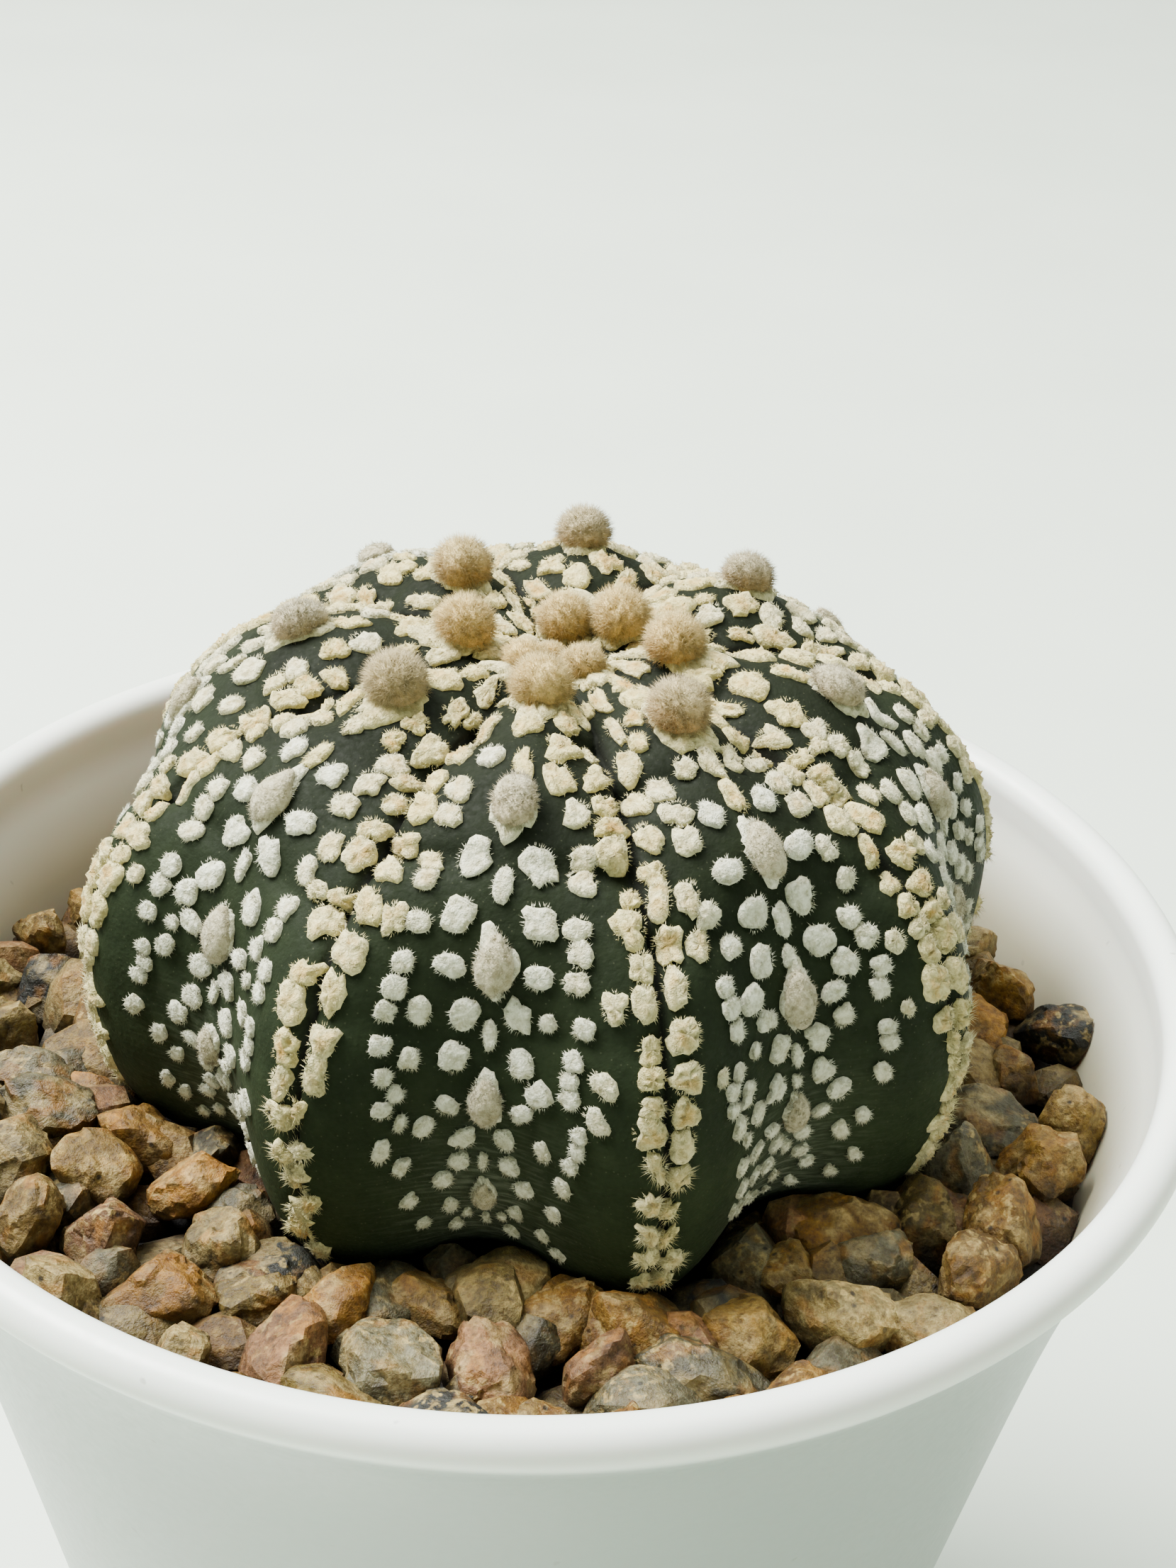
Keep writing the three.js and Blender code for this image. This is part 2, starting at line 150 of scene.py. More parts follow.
def new_object(name, data):
    made = bpy.data.objects.new(name, data)
    bpy.context.collection.objects.link(made)
    return made


def mesh_object(name, points, faces, **attributes):
    mesh = bpy.data.meshes.new(name)
    mesh.from_pydata((np.reshape(points, (-1, 3)) * MM).tolist(), [], faces)
    mesh.shade_smooth()
    for key, values in attributes.items():
        paint(mesh, key, values)
    mesh.update()
    return new_object(name, mesh)


def joined_object(name, parts):
    """One object of many (points, faces, attributes) parts."""
    points, faces, attributes = [], [], {}
    start = 0
    for part_points, part_faces, part_attributes in parts:
        points.append(part_points)
        faces.extend((part_faces + start).tolist())
        for key, values in part_attributes.items():
            attributes.setdefault(key, []).append(values)
        start += len(part_points)
    joined = {key: np.concatenate(values) for key, values in attributes.items()}
    return mesh_object(name, np.concatenate(points), faces, **joined)


def dress(piece, material, node):
    piece.data.materials.clear()
    piece.data.materials.append(material)
    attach(piece, "root")
    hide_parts(node)


def grid_faces(rows, columns, closed=False):
    """Quads of a grid that closes on itself along its columns, and if asked along its rows."""
    steps = np.arange(rows if closed else rows - 1)
    row, column = np.meshgrid(steps, np.arange(columns), indexing="ij")
    following = (column + 1) % columns
    upper = row * columns
    lower = (row + 1) % rows * columns
    quads = np.stack([upper + column, lower + column, lower + following, upper + following], -1)
    return quads.reshape(-1, 4).tolist()


def ring_points(radius, angle, height):
    """Points at those radii, angles and heights about the pot's axis."""
    return np.stack(np.broadcast_arrays(radius * np.cos(angle), radius * np.sin(angle), height), -1)


def lathe_object(name, profile, segments):
    """A ring of sections; the profile is a closed loop of (radius, height)."""
    radius, height = np.transpose(profile)[..., None]
    points = ring_points(radius, around(segments), height)
    return mesh_object(name, points, grid_faces(len(profile), segments, closed=True))


def unit_sphere(subdivisions):
    ball = bmesh.new()
    bmesh.ops.create_icosphere(ball, subdivisions=subdivisions, radius=1)
    points = np.array([vertex.co for vertex in ball.verts])
    faces = np.array([[vertex.index for vertex in face.verts] for face in ball.faces])
    ball.free()
    return points, faces


def needles(bases, directions, lengths, width, rng):
    """Three-sided hairs that stand on their bases, four points each with the tip last."""
    first = unit(np.cross(directions, unit_vectors(rng, len(bases))))
    second = np.cross(directions, first)
    points = np.empty((len(bases), 4, 3))
    for corner, angle in enumerate(around(3)):
        points[:, corner] = bases + (math.cos(angle) * first + math.sin(angle) * second) * width / 2
    points[:, 3] = bases + directions * lengths[:, None]
    sides = np.array([[0, 1, 3], [1, 2, 3], [2, 0, 3]])
    faces = np.arange(len(bases))[:, None, None] * 4 + sides
    return points.reshape(-1, 3), faces.reshape(-1, 3)


# Materials

WHITE = linear(255, 255, 255)


class Shader:
    """Adds nodes to a material and links them; its colour is built up in layers."""

    def __init__(self, name):
        self.material = bpy.data.materials.new(name)
        self.material.use_nodes = True
        self.tree = self.material.node_tree
        self.place = self.node("ShaderNodeTexCoord", "Object")
        self.colour = None

    def feed(self, socket, value):
        if isinstance(value, bpy.types.NodeSocket):
            self.tree.links.new(value, socket)
        else:
            socket.default_value = value

    def node(self, kind, output, inputs=None, **settings):
        """Adds a node and gives back one of its outputs."""
        made = self.tree.nodes.new(kind)
        for key, value in settings.items():
            setattr(made, key, value)
        for key, value in (inputs or {}).items():
            self.feed(made.inputs[key], value)
        return made.outputs[output]

    def noise(self, size, detail=3.0, roughness=0.55, place=None):
        """Noise with features of about that many millimetres, 0 to 1."""
        inputs = {"Vector": place or self.place, "Scale": 1000 / size}
        inputs.update(Detail=detail, Roughness=roughness)
        return self.node("ShaderNodeTexNoise", "Fac", inputs)

    def cells(self, size, output="Distance"):
        inputs = {"Vector": self.place, "Scale": 1000 / size}
        return self.node("ShaderNodeTexVoronoi", output, inputs)

    def spread(self, value, low, high, to_low=0.0, to_high=1.0):
        inputs = {"Value": value, "From Min": low, "From Max": high, "To Min": to_low, "To Max": to_high}
        return self.node("ShaderNodeMapRange", "Result", inputs)

    def maths(self, first, second, operation="MULTIPLY"):
        return self.node("ShaderNodeMath", 0, {0: first, 1: second}, operation=operation)

    def mix(self, factor, first, second, blend="MIX"):
        inputs = {"Factor": factor, 6: first, 7: second}
        return self.node("ShaderNodeMix", 2, inputs, data_type="RGBA", blend_type=blend)

    def over(self, factor, *colour):
        """Lays a colour over the layers so far, fully where the factor is 1."""
        self.colour = self.mix(factor, self.colour, linear(*colour))

    def tint(self, amount, factor, *dark):
        """Multiplies the layers so far by a dark colour, fully where the factor is 0."""
        tints = self.mix(factor, linear(*dark), WHITE)
        self.colour = self.mix(amount, self.colour, tints, "MULTIPLY")

    def attribute(self, name, output="Fac"):
        return self.node("ShaderNodeAttribute", output, attribute_name=name)

    def bump(self, height, distance, strength=1.0, normal=None):
        inputs = {"Height": height, "Distance": distance * MM, "Strength": strength}
        if normal is not None:
            inputs["Normal"] = normal
        return self.node("ShaderNodeBump", "Normal", inputs)

    def finish(self, roughness, normal, **constants):
        inputs = self.tree.nodes["Principled BSDF"].inputs
        self.feed(inputs["Base Color"], self.colour)
        self.feed(inputs["Roughness"], roughness)
        self.feed(inputs["Normal"], normal)
        for key, value in constants.items():
            inputs[key.replace("_", " ")].default_value = value
        return self.material


def skin_material():
    s = Shader("cactus skin")
    mottle = s.noise(2.6, 4)
    fine = s.noise(0.35, 3)
    base = s.mix(s.spread(mottle, 0.35, 0.7), linear(25, 35, 17), linear(34, 44, 24))
    # Near the crown the skin is painted darker than lower down: painted shade.
    crown = s.mix(s.spread(mottle, 0.3, 0.7), linear(11, 16, 5), linear(18, 24, 10))
    s.colour = s.mix(s.attribute("low"), crown, base)
    # A near-black line along each seam: painted shade in its groove.
    s.over(s.attribute("crease"), 12, 14, 8)
    dots = s.spread(s.cells(0.42), 0.16, 0.05)
    s.over(s.maths(dots, 0.2), 104, 106, 84)
    flat = s.node("ShaderNodeMapping", "Vector", {"Vector": s.place, "Scale": (1, 1, 8)})
    lines = s.noise(1 / 0.7, 2, 0.5, flat)
    bloom = s.maths(s.attribute("bloom"), s.spread(lines, 0.45, 0.7, 0.12, 0.5))
    s.over(bloom, 128, 134, 118)
    normal = s.bump(fine, 0.1, 0.6, s.bump(mottle, 0.25, 0.5))
    return s.finish(s.spread(fine, 0.3, 0.7, 0.66, 0.84), normal, Specular_IOR_Level=0.12)


def felt_material(name, white, cream, stain, least_stain):
    """Felt and wool: the attribute cream runs from white to cream, and the stain attribute marks old
    spots, and on the wool also painted shade below and deep in each tuft.
    """
    s = Shader(name)
    matted = s.noise(0.5, 4, 0.7)
    fibres = s.noise(0.2, 2, 0.6)
    patch = s.noise(0.9, 2)
    s.colour = s.mix(s.attribute("cream"), linear(*white), linear(*cream))
    s.over(s.maths(s.attribute("stain"), s.spread(patch, 0.38, 0.6, least_stain)), *stain)
    s.tint(0.8, s.spread(matted, 0.34, 0.6), 176, 170, 146)
    normal = s.bump(fibres, 0.1, 0.5, s.bump(matted, 0.3, 0.9, s.bump(patch, 0.35, 0.6)))
    return s.finish(0.92, normal, Sheen_Weight=0.15, Sheen_Roughness=0.6, Specular_IOR_Level=0.12)


def stone_material():
    s = Shader("granite gravel")
    cloud = s.noise(2.2, 4, 0.6)
    fine = s.noise(0.45, 5, 0.7)
    crystals = s.noise(0.7, 3, 0.75)
    granite = s.spread(s.noise(5.0, 1), 0.45, 0.6)
    grit = s.noise(0.6, 2, 0.6)
    s.colour = s.attribute("stone", "Color")
    s.tint(0.85, s.spread(crystals, 0.38, 0.62), 186, 172, 136)
    s.over(s.spread(cloud, 0.56, 0.72, 0.0, 0.4), 154, 108, 30)
    s.over(s.spread(cloud, 0.42, 0.3, 0.0, 0.3), 146, 126, 70)
    s.over(s.maths(s.spread(grit, 0.54, 0.64, 0.0, 0.6), granite), 176, 154, 96)
    s.over(s.spread(grit, 0.4, 0.3, 0.0, 0.45), 36, 27, 14)
    mica = s.maths(s.spread(s.cells(1.1), 0.2, 0.1), granite)
    s.over(s.maths(mica, 0.85), 24, 21, 17)
    s.tint(0.85, s.spread(fine, 0.32, 0.62), 146, 134, 116)
    # Stones are darker the lower they sit: painted shade in the gaps, with some dust.
    s.tint(0.95, s.attribute("depth"), 62, 48, 31)
    gloss = s.maths(s.attribute("quartz"), 0.3)
    rough = s.maths(s.spread(fine, 0.3, 0.7, 0.5, 0.75), gloss, "SUBTRACT")
    normal = s.bump(fine, 0.16, 0.9, s.bump(crystals, 0.3, 0.6))
    scatter = {"Subsurface_Weight": 0.08, "Subsurface_Scale": 0.0008}
    return s.finish(rough, normal, Specular_IOR_Level=0.3, **scatter)


def pot_material():
    s = Shader("white plastic")
    cloud = s.noise(18, 2)
    fine = s.noise(0.6, 2)
    scuff = s.spread(s.noise(1.1, 1), 0.76, 0.8)
    s.colour = s.mix(s.spread(cloud, 0.3, 0.7), linear(226, 232, 225), linear(235, 241, 234))
    # The outer wall below the lip is painted greyer: painted shade.
    s.over(s.attribute("painted_wall_shade"), 154, 162, 156)
    # The inner wall is painted darker and yellower towards the gravel: partly dust, partly painted
    # shade.
    s.over(s.attribute("dust_and_inner_shade"), 176, 171, 146)
    s.over(s.maths(scuff, 0.35), 120, 116, 106)
    rough = s.spread(fine, 0.3, 0.7, 0.3, 0.4)
    normal = s.bump(cloud, 0.2, 0.3, s.bump(fine, 0.012, 0.4))
    return s.finish(rough, normal, Subsurface_Weight=0.15, Subsurface_Scale=0.003)


def mix_material():
    s = Shader("potting mix")
    crumbs = s.noise(1.6, 5, 0.7)
    chips = s.node("ShaderNodeRGBToBW", "Val", {"Color": s.cells(2.4, "Color")})
    s.colour = s.mix(s.spread(crumbs, 0.35, 0.65), linear(48, 36, 26), linear(104, 82, 60))
    s.over(s.spread(chips, 0.72, 0.8, 0.0, 0.7), 176, 160, 132)
    return s.finish(0.95, s.bump(crumbs, 0.8, 0.9))


def floor_material():
    s = Shader("pale table")
    cloud = s.spread(s.noise(60, 3), 0.3, 0.7)
    s.colour = s.mix(cloud, linear(209, 219, 207), linear(215, 225, 213))
    return s.finish(0.6, s.bump(s.noise(2.0, 3), 0.03, 0.2))


# Shape of the plant

def smooth_through(values, position):
    """Smooth curve through values at 0, 1, 2 ..., level at the first one."""
    last = len(values) - 1
    x = np.clip(position, 0, last - 1e-9)
    i = np.floor(x).astype(int)
    t = x - i
    before = values[np.where(i > 0, i - 1, 1)]
    here = values[i]
    after = values[i + 1]
    beyond = np.where(i + 2 <= last, values[np.minimum(i + 2, last)], 2 * after - here)
    slope = after - before
    bend = 2 * before - 5 * here + 4 * after - beyond
    twist = 3 * here - 3 * after + beyond - before
    return 0.5 * (2 * here + slope * t + bend * t * t + twist * t * t * t)


def rib_edges(rib):
    left = SEAM_LONS[rib]
    right = np.where(rib + 1 < RIB_COUNT, SEAM_LONS[(rib + 1) % RIB_COUNT], SEAM_LONS[0] + 360)
    return left, right


def rib_place(lon):
    """The rib at a place, and how far across it that is, -1 to 1."""
    turned = np.mod(lon - SEAM_LONS[0], 360) + SEAM_LONS[0]
    rib = np.clip(np.searchsorted(SEAM_LONS, turned, side="right") - 1, 0, RIB_COUNT - 1)
    left, right = rib_edges(rib)
    return rib, (turned - left) / (right - left) * 2 - 1


def lon_of(rib, across):
    left, right = rib_edges(np.asarray(rib))
    return left + (np.asarray(across) + 1) / 2 * (right - left)


def base_radius(lat, across):
    position = (90 - lat) / LAT_STEP
    seam = smooth_through(SEAM_RADII, position)
    areole = smooth_through(AREOLE_RADII, position)
    return areole + (seam - areole) * (1 - np.cos(np.pi * across)) / 2


def half_width(rib, lat, across):
    left, right = rib_edges(np.asarray(rib))
    return base_radius(lat, across) * np.cos(lat * DEGREE) * (right - left) * DEGREE / 2


def areole_lat(rib, index):
    step = AREOLE_STARTS[rib] + index
    return 90 - AREOLE_FALL * step + AREOLE_FALL_EASE * step * step


AREOLES = [
    (rib, areole_lat(rib, index))
    for rib, index in product(range(RIB_COUNT), range(AREOLES_PER_RIB))
    if areole_lat(rib, index) > AREOLE_LOW_LAT
]

SEAM_CREASE_WIDTH = 0.22
SEAM_VALLEY_DEPTH = 0.3
SEAM_VALLEY_WIDTH = 1.2
AREOLE_BULGE = 0.45
AREOLE_BULGE_WIDTH = 2.4
CREASE_BELOW_AREOLE = 3.4
CREASE_DEPTH = 0.5
NOTCH_DEPTH = 0.7


def relief(lon, lat):
    """Lift of the skin in millimetres: seams, bulges under the areoles and creases between."""
    rib, across = rib_place(lon)
    wide = half_width(rib, lat, across)
    from_seam = (1 - np.abs(across)) * wide
    open_up = ramp(lat, 80, 60)
    upper = ramp(lat, 5, 40)
    lift = -GROOVE_DEPTH * np.exp(-from_seam / SEAM_CREASE_WIDTH) * open_up
    lift -= SEAM_VALLEY_DEPTH * bell(from_seam, SEAM_VALLEY_WIDTH) * open_up * upper
    radius = base_radius(lat, across)
    for owner, height in AREOLES:
        down = (height - lat) * DEGREE * radius
        aside = across * wide
        bulge = np.exp(-(down**2 + aside**2) / (2 * AREOLE_BULGE_WIDTH**2))
        crease = bell(down - CREASE_BELOW_AREOLE - 0.12 * np.abs(aside), 0.9)
        crease *= np.clip(np.abs(aside) / 2.5, 0.15, 1) * open_up
        notch = np.exp(-(((down - CREASE_BELOW_AREOLE - 1) / 1.3) ** 2) - (from_seam / 1.3) ** 2)
        hollow = upper * (CREASE_DEPTH * crease + NOTCH_DEPTH * notch)
        lift += (rib == owner) * open_up * (AREOLE_BULGE * bulge - hollow)
    turn = lon * DEGREE
    rise = lat * DEGREE
    lift += 0.1 * np.sin(5 * turn + 3 * rise) * np.cos(9 * rise + 2 * turn) * open_up
    return lift


def skin_point(lon, lat):
    _, across = rib_place(lon)
    radius = base_radius(lat, across) + relief(lon, lat)
    out = radius * np.cos(lat * DEGREE)
    turn = lon * DEGREE
    point = [out * np.sin(turn), -out * np.cos(turn), radius * np.sin(lat * DEGREE)]
    return PLANT_CENTRE + np.stack(point, -1)


CROWN = skin_point(np.array([0.0]), np.array([90.0]))


class Skin:
    """The skin at some places: its axes down the rib, sideways and outward, and its scales."""

    def __init__(self, lon, lat):
        step = 0.4
        down = (skin_point(lon, lat - step) - skin_point(lon, lat + step)) / (2 * step)
        turn = step / np.maximum(np.cos(lat * DEGREE), 0.1)
        aside = (skin_point(lon + turn, lat) - skin_point(lon - turn, lat)) / (2 * turn)[:, None]
        self.origin = skin_point(lon, lat)
        self.down_scale = np.linalg.norm(down, axis=1)[:, None]
        self.aside_scale = np.linalg.norm(aside, axis=1)[:, None]
        self.along = down / self.down_scale
        self.outward = unit(np.cross(self.along, aside))
        self.sideways = np.cross(self.outward, self.along)


# Plant

SKIN_COLUMNS = 34
SKIN_ROWS = 160


def make_skin():
    steps = np.linspace(-1, 1, SKIN_COLUMNS + 1)[:-1]
    across = 0.5 * steps + 0.5 * np.sin(steps * math.pi / 2)
    lons = np.concatenate([lon_of(rib, across) for rib in range(RIB_COUNT)])
    lats = np.linspace(89.4, LOWEST_LAT, SKIN_ROWS)
    lon, lat = (grid.ravel() for grid in np.meshgrid(lons, lats))
    points = skin_point(lon, lat)
    columns = len(lons)
    top = len(points)
    last = top - columns
    under = [[*PLANT_CENTRE[:2], points[last:, 2].mean()]]
    faces = grid_faces(SKIN_ROWS, columns)
    for i in range(columns):
        following = (i + 1) % columns
        faces.append([top, i, following])
        faces.append([top + 1, last + following, last + i])
    rib, place = rib_place(lon)
    from_seam = (1 - np.abs(place)) * half_width(rib, lat, place)
    # crease marks where the seam's groove gets painted shade.
    crease = bell(from_seam, 0.28) * ramp(lat, 80, 60)
    bloom = ramp(lat, 12, -8) * bell(place, 0.4)
    return mesh_object(
        "cactus_skin",
        np.concatenate([points, CROWN, under]),
        faces,
        crease=np.append(crease, [0, 0]),
        # low runs from 0 on the upper part, which is painted darker as painted shade, to 1 low down.
        low=np.append(ramp(lat, 46, 2), [0, 1]),
        bloom=np.append(bloom, [0, 0]),
    )


ROOT_TOP_RADIUS = 7.5
ROOT_TIP_RADIUS = 1.6
ROOT_LENGTH = 34
ROOT_ROWS = 28
ROOT_COLUMNS = 28


def make_taproot():
    """The tapering root, hidden in the fill, with side wrinkles."""
    neck = base_radius(np.array(LOWEST_LAT), 0) * math.sin(LOWEST_LAT * DEGREE) + 0.5
    fall = np.linspace(0, 1, ROOT_ROWS)[:, None]
    angle = around(ROOT_COLUMNS)
    radius = ROOT_TOP_RADIUS * 0.93 * (1 - fall**1.3) + ROOT_TIP_RADIUS * 0.8 * fall
    radius = radius * (1 + 0.04 * np.sin(34 * fall) + 0.03 * np.sin(5 * angle + 9 * fall))
    points = PLANT_CENTRE + ring_points(radius, angle, neck - fall * (ROOT_LENGTH - 0.5))
    faces = [face[::-1] for face in grid_faces(ROOT_ROWS, ROOT_COLUMNS)]
    first = list(range(ROOT_COLUMNS))
    last = [(ROOT_ROWS - 1) * ROOT_COLUMNS + i for i in first]
    return mesh_object("cactus_taproot", points, faces + [first, last[::-1]])


# Felt pads. A fleck is one pad as a row of numbers; Pads are many of them as columns.

PAD_CORNERS = 18
PAD_RINGS = [(0.95, -0.25), (0.98, 0.18), (0.89, 0.37), (0.68, 0.45), (0.35, 0.49)]
PAD_RING_AGE = [0.0, 0.0, 0.15, 0.7, 1.0]
PAD_CROWN_HEIGHT = 0.5
PAD_SEED = 11
EDGE_WAVES = [(1, 0.06), (2, 0.07), (3, 0.08), (4, 0.05), (5, 0.045)]
SIZE_LATS = [-12, 0, 12, 28, 45, 60, 75]
PAD_SIZES = [0.85, 1.05, 1.35, 1.7, 2.0, 2.2, 2.3]
FILL_TRIES = 520
ROW_PITCH = 1.4
FILL_TOP_LAT = 83
FILL_LOW_LAT = -14
GOLDEN_SHARE = 0.6180339887
SEAM_TOP_LAT = 76
SEAM_LOW_LAT = -15
SEAM_SLIM_LAT = 56
RAGGED_LAT = 8
SECOND_ROW_TOP = 52
SECOND_ROW_LOW = 18
SECOND_ROW_SHARE = 0.18
BAR_PLACE = 0.56
BAR_OVERLAP = -0.22
COMPANY_GAP = 0.2
FREE_FILL_LAT = 57
BARE_BELOW_LAT = 22
CROWN_WOOL_RADIUS = 1.4
CROWN_TRIES = 160
CROWN_LOW_LAT = 60
CROWN_HIGH_LAT = 86
CROWN_OVERLAP = -0.16
YOUNG_LAT = 77


def fleck(rib, lat, across, length, width, turn, cream, corner, ragged=0, gap=0):
    """One pad: its place on the rib, its size, its colour, its outline and the room it needs."""
    return rib, lat, across, length, width, turn, cream, corner, ragged, gap


def superellipse(angle, corner):
    return (np.abs(np.cos(angle)) ** corner + np.abs(np.sin(angle)) ** corner) ** (-1 / corner)


class Pads(Skin):
    """Many pads: each value is a column, with the skin at their places."""

    def __init__(self, flecks):
        columns = np.array(flecks, dtype=float).T[..., None]
        self.rib = columns[0].astype(int)
        self.lat, across, self.length, self.width = columns[1:5]
        self.turn, self.cream, self.corner, self.ragged, self.gap = columns[5:]
        self.lon = lon_of(self.rib, across)
        super().__init__(self.lon[:, 0], self.lat[:, 0])

    def balls(self):
        """Three balls along each pad, which stand for it when room is looked for."""
        half = np.maximum(self.length - self.width, 0) / 2
        end = half * (self.along * np.cos(self.turn) + self.sideways * np.sin(self.turn))
        balls = np.stack([self.origin - end, self.origin, self.origin + end], axis=1)
        return balls, np.minimum(self.width, self.length)[:, 0] / 2

    def edge(self, angles, rng):
        """Uneven edge: between a lozenge and a soft square, lumpy, waisted when long."""
        shape = superellipse(angles, self.corner)
        lively = 1 + 0.6 * self.cream + 0.8 * self.ragged
        for wave, amount in EDGE_WAVES:
            phase = rng.random(self.length.shape) * 2 * math.pi
            size = amount * rng.normal(size=self.length.shape)
            shape = shape + lively * size * np.cos(wave * angles + phase)
        waist = np.clip(self.length / self.width - 1.4, 0, 0.8) * (self.corner > 2.4)
        shape = shape - 0.2 * waist * (1 - np.cos(2 * angles)) / 2
        shape = shape + 0.045 * lively * rng.normal(size=shape.shape)
        return np.clip(shape, 0.5, 1.5)

    def thickness(self):
        return np.minimum(0.85, 0.35 + 0.25 * self.width) + 0.3 * self.ragged

    def draped(self, reach, angle, height):
        """Points on the skin, at that share of each pad's half size, lifted along its normal."""
        x = reach * np.cos(angle) * self.length / 2
        y = reach * np.sin(angle) * self.width / 2
        down = x * np.cos(self.turn) - y * np.sin(self.turn)
        aside = x * np.sin(self.turn) + y * np.cos(self.turn)
        lat = np.minimum(self.lat - down / self.down_scale, 89.9)
        lon = self.lon + aside / self.aside_scale
        points = skin_point(lon.ravel(), lat.ravel()).reshape(*x.shape, 3)
        return points + self.outward[:, None] * height[..., None]


class Room:
    """What stands on a rib so far, as balls, so that new pads keep clear of it."""

    def __init__(self, points, reaches):
        self.points = points
        self.reaches = reaches

    def accept(self, flecks):
        pads = Pads(flecks)
        kept = []
        for spot, size, gap, candidate in zip(*pads.balls(), pads.gap, flecks):
            apart = np.linalg.norm(spot[:, None] - self.points, axis=2) - self.reaches
            if apart.min() > size + gap:
                self.points = np.concatenate([self.points, spot])
                self.reaches = np.append(self.reaches, [size] * 3)
                kept.append(candidate)
        return kept


def pad_size(lat):
    return np.interp(lat, SIZE_LATS, PAD_SIZES)


def degrees_down(distance, lat, across=0.0):
    """The degrees that so many millimetres down the skin take up."""
    return distance / base_radius(lat, across) / DEGREE


def areole_size(lat):
    """Radius of the wool on an areole: small cushions low down, round balls near the crown."""
    return 0.85 + 0.5 * ramp(lat, -5, 20) + 0.75 * ramp(lat, 44, 58)


def ball_share(lat):
    """From the low cushions, 0, to the balls near the crown, 1."""
    return ramp(lat, 43, 57)


def young_share(lat):
    """From the grown tufts, 0, to the small flat ones in the middle of the crown, 1."""
    return ramp(lat, YOUNG_LAT, YOUNG_LAT + 10)


def shifted(rib, lat, down, aside):
    """Lat and place across, that many millimetres down and aside from the areole line."""
    below = lat - degrees_down(down, lat)
    return below, aside / half_width(rib, below, 0)


def seam_flecks(rng):
    """Cream pads in a row on either side of each seam; torn wisps on the low star points."""
    for rib, side in product(range(RIB_COUNT), (-1, 1)):
        lat = SEAM_TOP_LAT + 2 * rng.random()
        while lat > SEAM_LOW_LAT:
            ragged = float(lat < RAGGED_LAT + jitter(rng, 8))
            length = 1.2 + 1.3 * rng.random()
            width = 1.35 + 0.8 * rng.random()
            distance = 0.5 * width + 0.02 + 0.25 * rng.random()
            turn = jitter(rng, 0.6)
            gap = 0.05 + 0.35 * rng.random() ** 3
            if lat > SEAM_SLIM_LAT:
                length *= 1.5
                width *= 0.64
                turn += side * 0.15
            if ragged:
                length = 1.3 + 0.9 * rng.random()
                width = 0.9 + 0.6 * rng.random()
                distance = 0.15 + 0.8 * rng.random()
                turn = jitter(rng, 1.3) + 0.8 * side
                gap = 0.1 + 0.9 * rng.random()
            wide = half_width(rib, lat, side)
            cream = 0.75 + 0.25 * rng.random()
            across = side * (1 - distance / wide)
            yield fleck(rib, lat, across, length, width, turn, cream, 2.7, ragged)
            if SECOND_ROW_LOW < lat < SECOND_ROW_TOP and rng.random() < SECOND_ROW_SHARE:
                across = side * (1 - (distance + 0.5 * width + 0.85) / wide)
                high = lat - 1.5 * rng.random()
                yield fleck(rib, high, across, 0.85 * length, 1.35, turn, 0.8 * cream, 2.5)
            lat -= degrees_down(length + gap, lat, side)


def areole_company(rib, rng):
    """The pads that go with each areole: ovals spreading below it and long ones beside it."""
    for owner, middle in AREOLES:
        if owner != rib or middle < 2:
            continue
        size = pad_size(middle)
        cream = ramp(middle, 46, 60)
        end = areole_size(middle) * 1.5
        spots = []
        for side in (-1, 1):
            spots += [
                (end + 0.5 * size, side * 0.86 * size, 1.2, 0.95, side * 0.4),
                (end + 2.0 * size, side * 1.08 * size, 1.05, 0.95, side * 0.25),
                (end + 2.9 * size, side * 1.7 * size, 0.95, 0.9, side * 0.4),
                (0.5, side * (0.9 * end + 0.35 * size), 0.8, 1.1, side * 0.3),
                (-end - 0.4 * size, side * 0.95 * size, 0.95, 0.8, side * -0.2),
            ]
            if middle > 30:
                beside = side * (0.9 * end + 0.6 * size)
                spots.append((-0.9, beside, 1.5, 0.66, math.pi / 2 - side * 0.3))
        spots.append((end + 1.1 * size, 0.0, 1.05, 0.52, 0.0))
        for down, aside, length, width, turn in spots:
            lat, across = shifted(rib, middle, down + jitter(rng, 0.3), aside)
            wide = size * width * (0.9 + 0.16 * rng.random())
            turn += jitter(rng, 0.3)
            if abs(across) < 0.85 and lat < FILL_TOP_LAT:
                shape = (size * length, wide, turn, cream, 2.1)
                yield fleck(rib, lat, across, *shape, gap=COMPANY_GAP)


def column_bars(rib, rng):
    """Pads run together in short bars, in a column between the areole line and each seam."""
    for side in (-1, 1):
        lat = 50.0 - 4 * rng.random()
        while lat > 8:
            place = BAR_PLACE + jitter(rng, 0.06)
            size = 0.82 * pad_size(lat)
            turn = side * 0.08 + jitter(rng, 0.16)
            cream = 0.5 * ramp(lat, 24, 44)
            down = degrees_down(1, lat, 0.5)
            for _ in range(rng.integers(1, 4)):
                length = size * (0.85 + 0.25 * rng.random())
                width = size * (0.85 + 0.2 * rng.random())
                spot = side * (place + 0.02 * rng.normal())
                shape = (length, width, turn, cream, 2.7)
                yield fleck(rib, lat, spot, *shape, gap=BAR_OVERLAP)
                lat -= 0.97 * length * down
            lat -= (0.5 + 0.7 * rng.random()) * down


